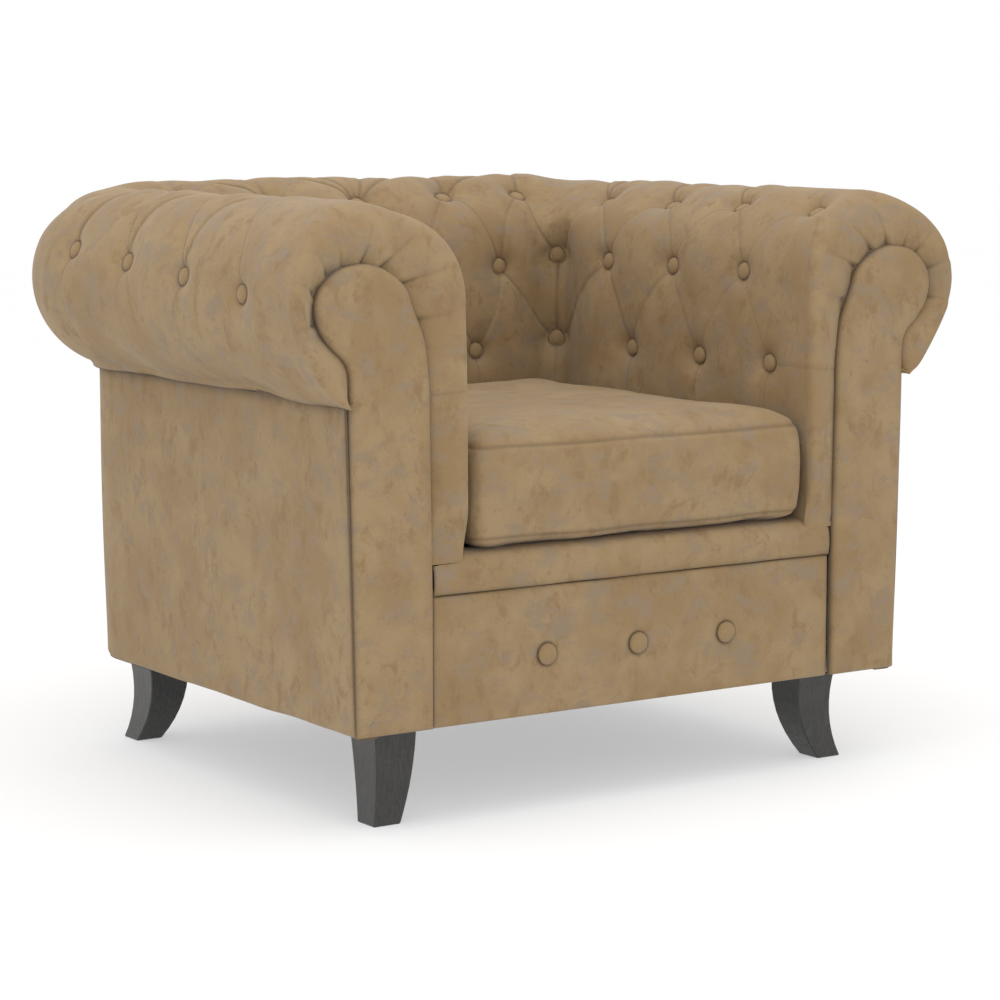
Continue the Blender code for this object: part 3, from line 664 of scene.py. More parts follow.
class Relief:
    """How far each point of the tub is pressed in or stands out, and how much shade is painted into its creases.
    """

    def __init__(self, grid, normals):
        self.shape = grid.shape[:2]
        self.points = grid.reshape(-1, 3)
        self.normals = normals.reshape(-1, 3)
        self.pressed = np.zeros(len(self.points))
        self.raised = np.zeros(len(self.points))
        self.painted_shade = np.zeros(len(self.points))

    def around(self, path, margin):
        low, high = path.min(0) - margin, path.max(0) + margin
        return np.nonzero(((self.points > low) & (self.points < high)).all(axis=1))[0]

    def press(self, ids, depth):
        """Adds a hollow; where hollows meet, the deeper one leads."""
        self.pressed[ids] += np.maximum(depth, 0) ** 4

    def fold(self, path, strength, ends=(1.0, 1.0), lip=1, valley=0.0080):
        """A fold line with one overlapping edge and shade painted along it, fading towards an end whose value is
        0.
        """
        ids = self.around(path, 0.055)
        distance, share, foot, heading = near_path(self.points[ids], path)
        side = np.einsum("ij,ij->i", np.cross(heading, self.normals[ids]), self.points[ids] - foot) * lip
        fade = ends[0] + (ends[1] - ends[0]) * share
        fade *= 0.72 + 0.28 * np.cos(2 * math.pi * share)
        steep = np.where(side > 0, 0.0024, 0.0085)
        line = strength * fade * np.exp(-distance / steep)
        soft = math.sqrt(strength) * fade * np.exp(-((distance / 0.025) ** 2))
        self.press(ids, 0.0045 * line + valley * soft)
        edge = strength * fade * np.exp(-(((distance - 0.0065) / 0.0045) ** 2)) * (side > 0)
        self.raised[ids] = np.maximum(self.raised[ids], 0.0017 * edge)
        # Painted shade along the bottom of the fold.
        dark = 0.62 * math.sqrt(strength) * fade * np.exp(-((distance / 0.0019) ** 2))
        self.painted_shade[ids] = np.maximum(self.painted_shade[ids], dark)

    def dimple(self, centre, depth, width):
        ids = self.around(centre[None], 0.095)
        distance = np.linalg.norm(self.points[ids] - centre, axis=1)
        beyond = np.maximum(distance - TUFT_RADIUS, 0)
        self.press(ids, depth * np.exp(-beyond / width))

    def result(self, swell):
        inward = self.pressed**0.25 - self.raised - swell
        moved = self.points - self.normals * inward[:, None]
        return moved.reshape(*self.shape, 3), np.clip(self.painted_shade, 0, 1).reshape(self.shape)


def mirrored(places, stations):
    """The same grid places on the other half."""
    return places * (-1, 1) + (stations - 1, 0)


def both_sides(relief, grid, places, strength, lip=1, **options):
    """Folds along the places on the right half, and on the left half mirrored."""
    relief.fold(sample_grid(grid, places), strength, lip=lip, **options)
    relief.fold(sample_grid(grid, mirrored(places, len(grid))), strength, lip=-lip, **options)


def fold_links(relief, grid, lengths, places):
    """Folds from button to button; their overlapping edges face one way and the other in turn."""
    lip = -1
    for (first_row, second_row), folds in FOLDS.items():
        for first, second, strength, bow in folds:
            line = path_places(lengths, places[first_row, first], places[second_row, second], bow)
            both_sides(relief, grid, line, strength, lip)
            lip = -lip


def fold_over_roll(relief, grid, lengths, places):
    """A short fold straight up from each top button, and a long one from each outer button to the tuck."""
    for number in range(7):
        start = places["top", number]
        line = path_places(lengths, start, start + (0, 26), 0.001)
        both_sides(relief, grid, line, 0.8, -1, ends=(1.0, 0.0))
    for number, strength in enumerate((0.0, 0.2, 0.32, 0.65, 0.6, 0.55, 0.55)):
        if strength > 0:
            start = places["outer", number]
            line = path_places(lengths, start, (start[0] - 5, SHOWN_COLUMNS - 1), 0.010)
            fade = 0.0 if number < 3 else 0.4
            both_sides(relief, grid, line, strength, 1, ends=(1.0, fade), valley=0.004)


def fold_to_seat(relief, grid, lengths, places):
    """A light fold from each lower button to behind the cushion, and one from the first to the arm front."""
    for number in range(6):
        start = places["lower", number]
        line = path_places(lengths, start, (start[0], 12))
        both_sides(relief, grid, line, 0.2, 1, ends=(1.0, 0.5), valley=0.003)
    start = places["lower", 0]
    level = path_places(lengths, start, (0, start[1]))
    both_sides(relief, grid, level, 0.22, -1, ends=(1.0, 0.6), valley=0.002)


def fold_head(relief, grid, lengths):
    """Pleats round the arm front: share of the roll in front and behind, reach along the arm, strength."""
    pleats = (
        (0.145, 0.115, 0.060, 0.9),
        (0.305, 0.270, 0.055, 1.0),
        (0.430, 0.425, 0.050, 1.0),
        (0.560, 0.590, 0.045, 0.5),
        (0.660, 0.700, 0.040, 0.8),
        (0.790, 0.840, 0.052, 0.8),
        (0.950, 0.975, 0.045, 0.7),
        (-0.036, -0.026, 0.050, 0.7),
    )
    for start, end, reach, strength in pleats:
        first, last = FACE_STEPS + ROLL_STEPS * start, FACE_STEPS + ROLL_STEPS * end
        station = np.interp(reach, lengths[:, int(last)], np.arange(len(lengths)))
        line = path_places(lengths, (0, first), (station, last))
        both_sides(relief, grid, line, strength, 1, ends=(1.0, 0.12), valley=0.0035)


def button_rims(moved, normals, buttons, painted_shade):
    """Paints shade on the ring where each button sinks into the cloth."""
    flat = moved.reshape(-1, 3)
    dark = painted_shade.ravel()
    for *_, at in buttons:
        away = flat - moved[at]
        near = np.nonzero(np.abs(away).max(axis=1) < 0.03)[0]
        depth = away[near] @ normals[at]
        lateral = np.linalg.norm(away[near] - depth[:, None] * normals[at], axis=1)
        rim = 0.75 * np.exp(-(((lateral - TUFT_RADIUS - 0.0004) / 0.0016) ** 2))
        dark[near] = np.maximum(dark[near], rim)
    return dark.reshape(painted_shade.shape)


def press_buttons(relief, grid, spots, places):
    """Presses in each button of both halves. Returns the row, number, hand and grid place of each."""
    buttons = []
    for (row, number), place in places.items():
        for hand in ("middle",) if spots[row, number][0] == 0 else ("right", "left"):
            at = tuple(mirrored(place, len(grid)) if hand == "left" else place)
            relief.dimple(grid[at], DIMPLE_DEPTH[row], DIMPLE_WIDTH[row])
            buttons.append((row, number, hand, at))
    return buttons


def make_tub(material):
    """The padding of both arms and the back, folded and pressed as one surface, with its tufting buttons."""
    grid = tub_grid()
    normals = grid_normals(grid)
    relief = Relief(grid, normals)
    lengths = tub_lengths(grid)
    spots = button_spots()
    places = {key: nearest_place(grid[:, :SHOWN_COLUMNS], spot) for key, spot in spots.items()}
    fold_links(relief, grid, lengths, places)
    fold_over_roll(relief, grid, lengths, places)
    fold_to_seat(relief, grid, lengths, places)
    fold_head(relief, grid, lengths)
    buttons = press_buttons(relief, grid, spots, places)
    last = len(grid) - 1
    from_front = np.minimum(np.arange(len(grid)), last - np.arange(len(grid)))
    fullness = ripple(grid, 3, 0.16, 0.0014) * np.clip(from_front / FRONT_STEPS, 0, 1)[:, None]
    moved, painted_shade = relief.result(fullness.ravel())
    moved[:, -HIDDEN_STEPS:] = grid[:, -HIDDEN_STEPS:]
    painted_shade = button_rims(moved, normals, buttons, painted_shade)
    mitre = FRONT_STEPS + ARM_STEPS + CORNER_STEPS // 2
    smooth = grid_normals(moved)
    parts = {"arm_right": (0, mitre), "back": (mitre, last - mitre), "arm_left": (last - mitre, last)}
    for name, (first, final) in parts.items():
        rows = slice(first, final + 1)
        make_tub_part(name, moved[rows], smooth[rows], painted_shade[rows], material)
    for row, number, hand, at in buttons:
        name = f"tuft_{row}_{number + 1}_{hand}"
        place = Vector(moved[at]) + Vector(normals[at]) * 0.0014
        add_button(name, "tuft_button", (TUFT_RADIUS, 0.0050), place, normals[at], material)


def make_tub_part(name, points, normals, painted_shade, material):
    obj = add_object("padding_" + name, points, capped_faces(*points.shape[:2]), material)
    obj.data.normals_split_custom_set_from_vertices(normals.reshape(-1, 3).tolist())
    set_painted_shade(obj, painted_shade)
    side = name.split("_")[-1]
    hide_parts("back_pad" if name == "back" else "arm_pad_" + side)


def turned_button(name, radius, rise, material):
    """Mesh of a fabric covered button about +Z: a domed face, rolled edge and flat back."""
    segments = 28
    outline = ((0.05, 1), (0.25, 0.985), (0.5, 0.91), (0.72, 0.76), (0.88, 0.52))
    outline += ((0.97, 0.22), (1.0, -0.12), (0.95, -0.45), (0.8, -0.6), (0.1, -0.6))
    angles = np.linspace(0, 2 * math.pi, segments, endpoint=False)
    points = []
    for share, height in outline:
        reach = radius * share
        points += [(reach * math.cos(a), reach * math.sin(a), rise * height) for a in angles]
    mesh = bpy.data.meshes.new(name)
    mesh.from_pydata(points, [], flipped(capped_faces(len(outline), segments)))
    mesh.shade_smooth()
    mesh.materials.append(material)
    return mesh


def add_button(name, mesh_name, size, place, normal, material):
    """A covered button that faces along the normal. Its size is a radius and a rise; equal ones share a mesh."""
    mesh = bpy.data.meshes.get(mesh_name) or turned_button(mesh_name, *size, material)
    obj = linked(name, mesh)
    turned = Vector(normal).to_track_quat("Z", "Y").to_matrix().to_4x4()
    obj.matrix_world = Matrix.Translation(place) @ turned
    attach(obj, "chair")
    return obj


# Arm fronts


def facing_outline():
    """Closed outline of an arm front in x and z, upwards along the inner edge and over the head."""
    outline = [(FACING_INNER_X + 0.001, UNDERSIDE_Z + 0.001), (FACING_INNER_X + 0.001, 0.283)]
    head = smooth_curve(HEAD_OUTLINE)
    foot = [(ROLL_X + PANEL_FRONT_OFFSETS[0] - 0.001, UNDERSIDE_Z + 0.001)]
    return resampled(np.vstack([outline, head, foot, outline[:1]]), 300)[:-1]


def inset(outline, distance):
    """The outline moved inwards, square at its foot; it runs clockwise when seen from the front."""
    ahead = np.roll(outline, -1, axis=0) - np.roll(outline, 1, axis=0)
    ahead /= np.linalg.norm(ahead, axis=1, keepdims=True)
    normal = np.stack([ahead[:, 1], -ahead[:, 0]], axis=1)
    for _ in range(8):
        normal = (np.roll(normal, 1, axis=0) + 2 * normal + np.roll(normal, -1, axis=0)) / 4
    moved = outline + normal * distance
    foot = outline[:, 1] < UNDERSIDE_Z + 0.08
    low, high = outline[foot].min(axis=0), outline[foot].max(axis=0)
    moved[foot, 0] = np.clip(moved[foot, 0], low[0] + distance, high[0] - distance)
    moved[foot, 1] = np.maximum(moved[foot, 1], low[1] + distance)
    side = foot & (outline[:, 1] > low[1] + 1e-6) & (outline[:, 1] < low[1] + 0.05)
    inner = side & (outline[:, 0] < (low[0] + high[0]) / 2)
    moved[inner, 0] = low[0] + distance
    return moved


def make_facing(name, side, material):
    """Padded arm front: its edge turns back into the seam, and its face stands slightly full."""
    outline = facing_outline()
    rings = ((0.0, 0.0125), (0.0, 0.0085), (0.0006, 0.0060), (0.0022, 0.0034), (0.0050, 0.0014))
    rings += ((0.0090, 0.0003), (0.0140, -0.0004), (0.0210, -0.0009))
    points = []
    for distance, depth in rings:
        for x, z in inset(outline, distance):
            points.append((side * x, FRONT_Y + depth, z))
    faces = capped_faces(len(rings), len(outline))
    if side > 0:
        faces = flipped(faces)
    obj = add_object(name, points, faces, material)
    # Painted shade along the seam, where the edge turns back, fading onto the face.
    painted_shade = np.repeat([0.75, 0.7, 0.4, 0.12, 0.02, 0, 0, 0], len(outline))
    set_painted_shade(obj, painted_shade)
    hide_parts(name.replace("cover_", ""))


# Outside covers


def panel_profile(steps, foot, top):
    """Offset and height of an outside panel: under the edge, round it, and up into the tuck."""
    radius = 0.009
    curl = [(foot - 0.030, UNDERSIDE_Z)]
    for degrees in range(-90, 1, 15):
        angle = math.radians(degrees)
        x = foot - radius + radius * math.cos(angle)
        curl.append((x, UNDERSIDE_Z + radius + radius * math.sin(angle)))
    return resampled(curl + [(top, PANEL_TOP_Z), (top + 0.0006, PANEL_TOP_Z + 0.017)], steps)


def panel_rows(stations):
    """Grid over the right half of the outside, from the arm front to the middle of the back."""
    front = panel_profile(110, *PANEL_FRONT_OFFSETS)
    offset, height = panel_profile(110, *PANEL_REAR_OFFSETS).T
    corner_x, corner_y = plan_point(offset, 90, 9.0)[0], plan_point(offset, 0, 9.0)[1]
    start_y = FRONT_Y + 0.0075
    rows = []
    for kind, share in stations:
        if kind == "arm":
            across = front[:, 0] + (offset - front[:, 0]) * share
            rows.append(np.stack([ROLL_X + across, start_y + (corner_y - start_y) * share, height], axis=1))
        elif kind == "corner":
            x, y = plan_point(offset, min(max(90 * share, 0.001), 89.999), 0.0)
            rows.append(np.stack([x, y, height], axis=1))
        else:
            rows.append(np.stack([corner_x * (1 - share), ROLL_BACK_Y + offset, height], axis=1))
    return np.array(rows)


def panel_relief(rows, seed):
    """Pulled cloth: faint drags down from the tuck, and a slightly uneven lower edge."""
    height = (rows[:, :, 2] - UNDERSIDE_Z) / (PANEL_TOP_Z - UNDERSIDE_Z)
    outward = -grid_normals(rows)
    taut = np.clip(height * 8, 0, 1)
    belly = 0.0012 * np.sin(math.pi * np.clip(height, 0, 1))
    fullness = ripple(rows * (1, 1, 0.45), seed, 0.11, 0.0009) + belly
    drags = ripple(rows * (1, 1, 0.12), seed + 1, 0.035, 0.0007) * np.clip(height, 0, 1) ** 6
    rows = rows + outward * ((fullness + drags) * taut)[:, :, None]
    rows[:, :, 2] += ripple(rows * (1, 1, 0), seed + 2, 0.09, 0.0006) * (1 - np.clip(height * 5, 0, 1))
    return rows


def panel_painted_shade(rows, edge):
    """Painted shade along the seam, `edge` stations away, and where the cover runs into the tuck."""
    tuck = np.clip((rows[:, :, 2] - 0.500) / 0.018, 0, 1) ** 2
    return np.maximum(0.7 * np.exp(-edge / 1.2)[:, None], 0.8 * tuck)


def make_outside_arm(name, side, material):
    stations = [("arm", share) for share in np.linspace(0, 1, 200, endpoint=False)]
    stations += [("corner", share) for share in np.linspace(0, 1, 71)]
    rows = panel_relief(panel_rows(stations), 20 + side)
    painted_shade = panel_painted_shade(rows, np.arange(len(rows)))
    faces = grid_faces(*rows.shape[:2])
    if side > 0:
        faces = flipped(faces)
    obj = add_object(name, rows * (side, 1, 1), faces, material)
    set_painted_shade(obj, painted_shade)
    add_thickness(obj)
    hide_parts(name.replace("cover_", ""))


def make_outside_back(material):
    right = panel_rows([("back", share) for share in np.linspace(0, 1, 90)])
    rows = panel_relief(np.concatenate([right, right[-2::-1] * (-1, 1, 1)]), 31)
    edge = np.minimum(np.arange(len(rows)), len(rows) - 1 - np.arange(len(rows)))
    painted_shade = panel_painted_shade(rows, edge)
    rows = rows + grid_normals(rows) * (0.0012 * np.exp(-edge / 3.0))[:, None, None]
    obj = add_object("cover_outside_back", rows, flipped(grid_faces(*rows.shape[:2])), material)
    set_painted_shade(obj, painted_shade)
    add_thickness(obj)
    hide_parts("outside_back")


# Front of the seat


def front_panel_edge(low, high):
    """(y, z) points round the front panel: over its top edge, down its face and under it."""
    radius = 0.005
    turns = np.radians((30, 60, 90))
    edge = [(high.y, high.z), (low.y + radius, high.z)]
    edge += [(low.y + radius - radius * math.sin(a), high.z - radius + radius * math.cos(a)) for a in turns]
    edge += [(low.y, z) for z in np.linspace(high.z - radius, low.z + radius, 62)[1:]]
    edge += [(low.y + radius - radius * math.cos(a), low.z + radius - radius * math.sin(a)) for a in turns]
    return edge + [(high.y, low.z)]


def front_button_pulls(rows):
    """How far each point is pulled in round the front buttons, and how much shade is painted in the ring round
    each.
    """
    pulls = np.zeros(rows.shape[:2])
    painted_shade = np.zeros(rows.shape[:2])
    for name in ("left", "middle", "right"):
        low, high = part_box("front_button_" + name)
        radius = (high.x - low.x) / 2
        distance = np.hypot(rows[:, :, 0] - (low.x + high.x) / 2, rows[:, :, 2] - (low.z + high.z) / 2)
        pulls = np.maximum(pulls, 0.0030 * np.exp(-np.maximum(distance - radius, 0) / 0.010))
        painted_shade = np.maximum(painted_shade, 0.85 * np.exp(-(((distance - radius) / 0.0022) ** 2)))
    return pulls, painted_shade


def make_front_panel(material):
    """Cover of the front rail, with a shallow pull at each button."""
    low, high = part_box("front_panel")
    xs = np.linspace(low.x, high.x, 230)
    rows = np.array([[(x, y, z) for y, z in front_panel_edge(low, high)] for x in xs])
    face = rows[:, :, 1] < low.y + 0.001
    pulls, painted_shade = front_button_pulls(rows)
    rows[:, :, 1] += (ripple(rows, 41, 0.10, 0.0006) + pulls) * face
    seam = np.clip((rows[:, :, 2] - (high.z - 0.0022)) / 0.002, 0, 1)
    ends = np.exp(-np.minimum(rows[:, :, 0] - low.x, high.x - rows[:, :, 0]) / 0.0012)
    rows[:, :, 1] += 0.002 * ends
    # Painted shade along the top seam and at both ends, besides the rings round the buttons.
    painted_shade = np.maximum(painted_shade, np.maximum(0.65 * seam, 0.5 * ends))
    obj = add_object("cover_front_panel", rows, grid_faces(*rows.shape[:2]), material)
    set_painted_shade(obj, painted_shade)
    add_thickness(obj)
    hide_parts("front_panel")


def make_front_button(name, material):
    low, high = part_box(name)
    size = (high.x - low.x) / 2, 0.0046
    place = (low.x + high.x) / 2, high.y + 0.0012, (low.z + high.z) / 2
    obj = add_button("cover_" + name, "front_button_cover", size, place, (0, -1, 0), material)
    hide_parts(name)


def make_lip(material):
    """Padded front edge of the platform: nearly flat in front, round on top, with a hard seam below."""
    low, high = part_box("seat_lip")
    xs = np.linspace(low.x, high.x, 230)
    outline = [(high.y, low.z), (low.y + 0.006, low.z), (low.y + 0.0022, low.z + 0.0018)]
    outline += [(low.y, low.z + 0.008), (low.y - 0.0006, low.z + 0.020), (low.y + 0.0018, low.z + 0.034)]
    outline += [(low.y + 0.009, low.z + 0.044)]
    outline += [(low.y + 0.020, high.z - 0.0005), (low.y + 0.034, high.z + 0.0008), (high.y, high.z)]
    edge = resampled(smooth_curve(outline), 64)
    rows = np.array([[(x, y, z) for y, z in edge] for x in xs])
    front = np.clip((low.y + 0.02 - rows[:, :, 1]) / 0.02, 0, 1)
    ends = np.exp(-np.minimum(rows[:, :, 0] - low.x, high.x - rows[:, :, 0]) / 0.004)
    rows[:, :, 1] += front * (ripple(rows, 51, 0.08, 0.0008) + 0.002 * ends)
    rows[:, :, 2] -= 0.002 * ends * front
    # Painted shade along the seam at the foot of the front, and at both ends.
    seam = 0.65 * np.exp(-((rows[:, :, 2] - low.z) / 0.0016)) * front
    painted_shade = np.maximum(seam, 0.4 * np.minimum(ends**3, 1))
    obj = add_object("cover_seat_lip", rows, flipped(grid_faces(*rows.shape[:2])), material)
    set_painted_shade(obj, painted_shade)
    add_thickness(obj)
    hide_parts("seat_lip")


def make_deck(material):
    """Platform cloth under the cushion, sagging a little between the rails."""
    low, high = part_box("seat_deck")
    half = ROLL_X - ROLL_RADIUS - 0.002
    count = 90
    xs = np.linspace(-half, half, count)
    ys = np.linspace(low.y, ROLL_BACK_Y - ROLL_RADIUS - 0.002, count)
    x, y = np.meshgrid(xs, ys, indexing="ij")
    edge = np.minimum(np.minimum(x + half, half - x), np.minimum(y - ys[0], ys[-1] - y))
    sag = 0.004 * np.clip(edge / 0.12, 0, 1) ** 0.7
    z = high.z - 0.0015 - sag + ripple(np.stack([x, y, 0 * x], -1), 61, 0.09, 0.0004)
    faces = flipped(grid_faces(count, count))
    obj = add_object("cover_seat_deck", np.stack([x, y, z], axis=-1), faces, material)
    add_thickness(obj, 0.002)
    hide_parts("seat_deck")


# Loose cushion


def rounded_outline(half_x, half_y, radius, count):
    """Even points round a rectangle with round corners."""
    points = []
    for start, cx, cy in ((0, 1, 1), (90, -1, 1), (180, -1, -1), (270, 1, -1)):
        for angle in np.radians(np.linspace(start, start + 90, 10)):
            x = cx * (half_x - radius) + radius * math.cos(angle)
            points.append((x, cy * (half_y - radius) + radius * math.sin(angle)))
    return resampled(points + points[:1], count)[:-1]


def cushion_shape(margin):
    """Closed cushion with full corners, drawn `margin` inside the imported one. Returns points and faces."""
    centre_x = (CUSHION_LOW.x + CUSHION_HIGH.x) / 2 + CUSHION_SHIFT[0]
    centre_y = (CUSHION_LOW.y + CUSHION_HIGH.y) / 2 + CUSHION_SHIFT[1]
    half_x = (CUSHION_HIGH.x - CUSHION_LOW.x) / 2 - margin
    half_y = (CUSHION_HIGH.y - CUSHION_LOW.y) / 2 - margin
    crown = CUSHION_HIGH.z - CUSHION_LOW.z - 0.003
    squeeze = 1 - (margin - COVER_MARGIN) * 2 / crown
    levels = ((0.000, 0.20), (0.0005, 0.08), (0.001, 0.020), (0.004, 0.007), (0.010, 0.001))
    levels += ((0.040, -0.002), (0.075, -0.003), (0.105, -0.0015), (0.118, 0.001), (0.127, 0.005))
    levels += ((0.133, 0.013), (0.138, 0.028), (0.1415, 0.055), (0.1440, 0.095), (0.1455, 0.15), (crown, 0.21))
    base = CUSHION_LOW.z + 0.001 + margin - COVER_MARGIN
    rings = []
    for height, pull in levels:
        outline = rounded_outline(half_x - pull, half_y - pull, CUSHION_CORNER, CUSHION_COLUMNS)
        rings.append([(centre_x + x, centre_y + y, base + height * squeeze) for x, y in outline])
    return np.array(rings), flipped(capped_faces(len(rings), CUSHION_COLUMNS))


def remeshed(obj, voxel):
    remesh = obj.modifiers.new("remesh", "REMESH")
    remesh.mode = "VOXEL"
    remesh.voxel_size = voxel
    remesh.use_smooth_shade = True
    apply_modifiers(obj)


def apply_modifiers(obj):
    graph = bpy.context.evaluated_depsgraph_get()
    mesh = bpy.data.meshes.new_from_object(obj.evaluated_get(graph))
    obj.modifiers.clear()
    obj.data = mesh


def vertices_of(obj):
    points = np.zeros(len(obj.data.vertices) * 3)
    obj.data.vertices.foreach_get("co", points)
    return points.reshape(-1, 3)


def swell(obj, pressure, cap):
    """Blows the closed mesh up as cloth, and keeps each point within `cap` of where it was."""
    start = vertices_of(obj)
    cloth = obj.modifiers.new("swell", "CLOTH")
    cloth.settings.use_pressure = True
    cloth.settings.uniform_pressure_force = pressure
    cloth.settings.tension_stiffness = 8
    cloth.settings.compression_stiffness = 8
    cloth.settings.shear_stiffness = 4
    cloth.settings.bending_stiffness = 1.5
    cloth.settings.effector_weights.gravity = 0
    cloth.collision_settings.use_collision = False
    for number in range(1, 21):
        bpy.context.scene.frame_set(number)
    apply_modifiers(obj)
    moved = vertices_of(obj) - start
    length = np.linalg.norm(moved, axis=1, keepdims=True)
    moved *= np.minimum(1, cap / np.maximum(length, 1e-9))
    obj.data.vertices.foreach_set("co", (start + moved).ravel())
    obj.data.update()
    bpy.context.scene.frame_set(1)


def make_cushion(material):
    points, faces = cushion_shape(COVER_MARGIN)
    obj = add_object("cushion_cover_fabric", points, faces, material, body="cushion")
    remeshed(obj, 0.006)
    swell(obj, 4.0, 0.005)
    subdivide(obj)
    shape_seams(obj)
    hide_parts("cushion_cover")
    make_zip()


def make_foam(material):
    """Foam core, a little smaller than the cover all round."""
    points, faces = cushion_shape(FOAM_MARGIN)
    obj = add_object("cushion_foam", points, faces, material, "cushion")
    remeshed(obj, 0.010)
    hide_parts("cushion_core")


def subdivide(obj):
    refine = obj.modifiers.new("refine", "SUBSURF")
    refine.levels = 1
    refine.render_levels = 1
    apply_modifiers(obj)
    obj.data.shade_smooth()


def shape_seams(obj):
    """Presses in the two boxing seams and flattens the underside where it rests on the platform."""
    points = vertices_of(obj)
    normals = np.zeros(len(points) * 3)
    obj.data.vertices.foreach_get("normal", normals)
    normals = normals.reshape(-1, 3)
    level = points[:, 2] - CUSHION_LOW.z
    painted_shade = np.zeros(len(points))
    depth = np.zeros(len(points))
    for height in BOXING_SEAMS:
        distance = np.abs(level - height - ripple(points * (1, 1, 0), 71, 0.2, 0.0008))
        sideways = np.clip(np.hypot(normals[:, 0], normals[:, 1]) * 2 - 0.4, 0, 1)
        depth = np.maximum(depth, 0.0016 * np.exp(-((distance / 0.0035) ** 2)) * sideways)
        # Painted shade along each boxing seam.
        painted_shade = np.maximum(painted_shade, 0.42 * np.exp(-((distance / 0.0022) ** 2)) * sideways)
    depth -= ripple(points, 72, 0.12, 0.0009)
    points -= normals * depth[:, None]
    points[:, 2] = np.maximum(points[:, 2], CUSHION_LOW.z + 0.0003)
    near_zip = np.clip(2 - np.abs(points[:, 2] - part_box("zip_slider")[1].z) / 0.014, 0, 1)
    near_zip *= np.clip((ZIP_CLEAR - np.abs(points[:, 0])) / 0.03, 0, 1)
    near_zip *= points[:, 1] > CUSHION_HIGH.y - 0.02
    points[:, 1] += (CUSHION_HIGH.y + 2 * ZIP_RECESS - points[:, 1]) * near_zip
    obj.data.vertices.foreach_set("co", points.ravel())
    obj.data.update()
    set_painted_shade(obj, painted_shade)


def make_zip():
    """Zip along the middle of the rear boxing: two tapes and a row of teeth."""
    rear_y = CUSHION_HIGH.y + ZIP_RECESS
    zip_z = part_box("zip_slider")[1].z - 0.002
    tape = bpy.data.materials["black_lining"]
    tapes = (("upper", zip_z + 0.0012, zip_z + 0.0105), ("lower", zip_z - 0.0105, zip_z - 0.0012))
    for name, z0, z1 in tapes:
        xs, zs = np.linspace(-ZIP_HALF, ZIP_HALF, 80), np.linspace(z0, z1, 5)
        rows = [[(x, rear_y + 0.0004, z) for z in zs] for x in xs]
        faces = flipped(grid_faces(len(xs), len(zs)))
        obj = add_object("zip_tape_" + name, rows, faces, tape, "cushion")
        add_thickness(obj, 0.0012)
    make_zip_teeth(rear_y + 0.0006, zip_z)


def make_zip_teeth(y, z):
    """Small bevelled teeth that lean up and down in turn."""
    bm = bmesh.new()
    for k in range(round(2 * ZIP_HALF / TOOTH_PITCH)):
        x = -ZIP_HALF + TOOTH_PITCH * (k + 0.5)
        lean = 0.0006 if k % 2 else -0.0006
        tooth = bmesh.ops.create_cube(bm, size=1.0)["verts"]
        bmesh.ops.scale(bm, vec=(0.0014, 0.0016, 0.0030), verts=tooth)
        bmesh.ops.translate(bm, vec=(x, y, z + lean), verts=tooth)
    bmesh.ops.bevel(bm, geom=bm.edges[:], offset=0.0003, segments=1, affect="EDGES")
    mesh = bpy.data.meshes.new("zip_teeth")
    bm.to_mesh(mesh)
    bm.free()
    mesh.materials.append(bpy.data.materials["zip_metal"])
    obj = linked("zip_teeth", mesh)
    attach(obj, "cushion")


# Legs and underside


def soften_leg(name):
    """Rounds the edges of a packed sabre leg."""
    soften = frame["nodes"][name].modifiers.new("softened_edges", "BEVEL")
    soften.width = 0.0008
    soften.segments = 2
    soften.limit_method = "ANGLE"
    soften.angle_limit = math.radians(40)


def make_dust_cover(material):
    """Black lining stapled under the rails: it sags in the middle and puckers between the staples."""
    low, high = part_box("dust_cover")
    corner = CORNER_RADIUS + PANEL_REAR_OFFSETS[0] - 0.011
    half, depth = high.x - 0.002, high.y - low.y
    count = 90
    rows = []
    for y in np.linspace(low.y + 0.001, high.y - 0.002, count):
        inside = max(0.0, y - (high.y - corner))
        reach = half - corner + math.sqrt(max(0.0, corner**2 - inside**2))
        rows.append([(x, y, 0.0) for x in np.linspace(-reach, reach, count)])
    rows = np.array(rows)
    x, y = rows[:, :, 0] / half, (rows[:, :, 1] - low.y) / depth * 2 - 1
    inward = np.clip((1 - x**2) * (1 - y**2), 0, 1)
    rows[:, :, 2] = low.z - 0.0004 - 0.005 * inward**0.7
    rows[:, :, 2] += ripple(rows * (1, 1, 0), 81, 0.05, 0.0003) * np.clip(inward * 6, 0, 1)
    obj = add_object("underside_lining", rows, grid_faces(count, count), material)
    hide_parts("dust_cover")


def carried_over(materials):
    """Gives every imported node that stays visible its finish."""
    by_slot = {row["node"]: row["material_slot"] for row in frame["record"]["subparts"]}
    for name, node in frame["nodes"].items():
        if node.hide_render:
            continue
        node.data.materials.clear()
        node.data.materials.append(materials[by_slot[name]])


# Stage


def make_stage():
    mesh = bpy.data.meshes.new("floor")
    size = 30.0
    corners = [(-size, -size, 0), (size, -size, 0), (size, size, 0), (-size, size, 0)]
    mesh.from_pydata(corners, [], [(0, 1, 2, 3)])
    shader = Shader("pale_floor")
    shade = shader.ranged(shader.noise(2, 2, 0.5), 0.2, 0.8, 0.0, 1.0)
    colour = shader.mix(shade, (0.545, 0.545, 0.542), (0.555, 0.555, 0.555))
    glow = (1.0, 1.0, 1.0, 1.0)
    mesh.materials.append(shader.finish(colour, 0.9, specular=0.1, glow=glow, glow_strength=0.43))
    linked("floor", mesh)


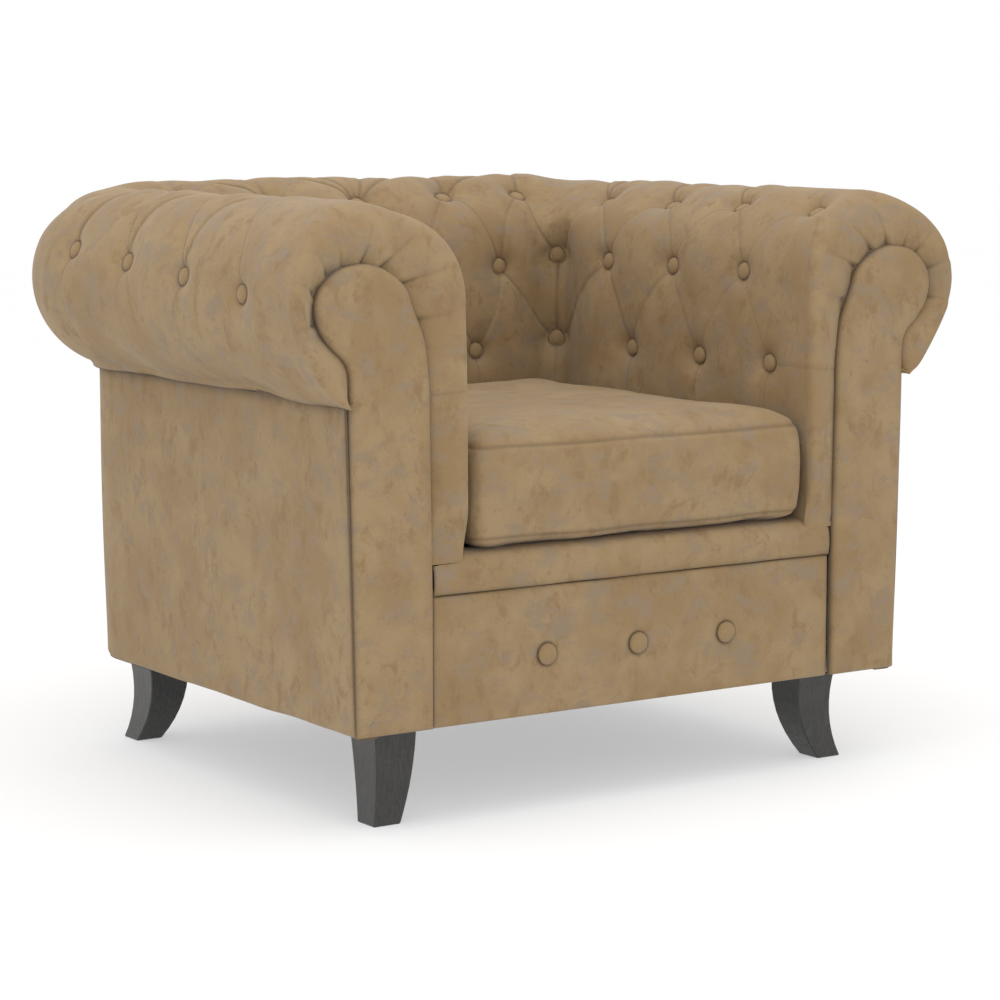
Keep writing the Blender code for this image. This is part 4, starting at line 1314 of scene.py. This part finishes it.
def make_light():
    world = bpy.data.worlds.new("studio")
    world.use_nodes = True
    background = world.node_tree.nodes["Background"]
    background.inputs["Color"].default_value = (1.0, 1.0, 1.0, 1.0)
    background.inputs["Strength"].default_value = 1.0
    bpy.context.scene.world = world
    for name, place, size, watts in (
        ("overhead", (-0.4, -0.6, 2.9), 2.6, 26),
        ("front_fill", (-2.6, -3.4, 1.6), 2.4, 16),
    ):
        light = bpy.data.lights.new(name, "AREA")
        light.size = size
        light.energy = watts
        obj = linked(name, light)
        obj.location = place
        obj.rotation_euler = (Vector((0, 0, 0.35)) - Vector(place)).to_track_quat("-Z", "Y").to_euler()


def make_camera():
    data = bpy.data.cameras.new("camera")
    data.lens = CAMERA_LENS
    data.sensor_width = 36
    data.clip_end = 100
    camera = linked("camera", data)
    camera.location = CAMERA_PLACE
    camera.rotation_euler = (math.radians(90 - CAMERA_DOWN_DEGREES), 0, math.radians(CAMERA_TURN_DEGREES))
    bpy.context.scene.camera = camera
    bpy.context.scene.view_settings.view_transform = "Standard"


def main():
    materials = {
        "suede_fabric": suede_material(),
        "frame_timber": timber_material(),
        "black_wood": black_wood_material(),
        "spring_steel": metal_material("spring_steel", (0.42, 0.42, 0.44), (0.30, 0.29, 0.28), 0.36),
        "zinc_steel": metal_material("zinc_steel", (0.62, 0.63, 0.65), (0.48, 0.49, 0.50), 0.32),
        "foam": foam_material(),
        "black_lining": lining_material(),
        "zip_metal": metal_material("zip_metal", (0.50, 0.47, 0.42), (0.36, 0.33, 0.28), 0.34),
    }
    suede = materials["suede_fabric"]
    make_stage()
    make_light()
    make_camera()
    make_tub(suede)
    for name, side in (("left", -1), ("right", 1)):
        make_facing("cover_facing_" + name, side, suede)
        make_outside_arm("cover_outside_arm_" + name, side, suede)
    make_outside_back(suede)
    make_front_panel(suede)
    for name in ("left", "middle", "right"):
        make_front_button("front_button_" + name, suede)
    make_lip(suede)
    make_deck(materials["black_lining"])
    make_cushion(suede)
    make_foam(materials["foam"])
    make_dust_cover(materials["black_lining"])
    carried_over(materials)
    for end in ("front", "rear"):
        for hand in ("left", "right"):
            soften_leg(f"leg_{end}_{hand}")


main()
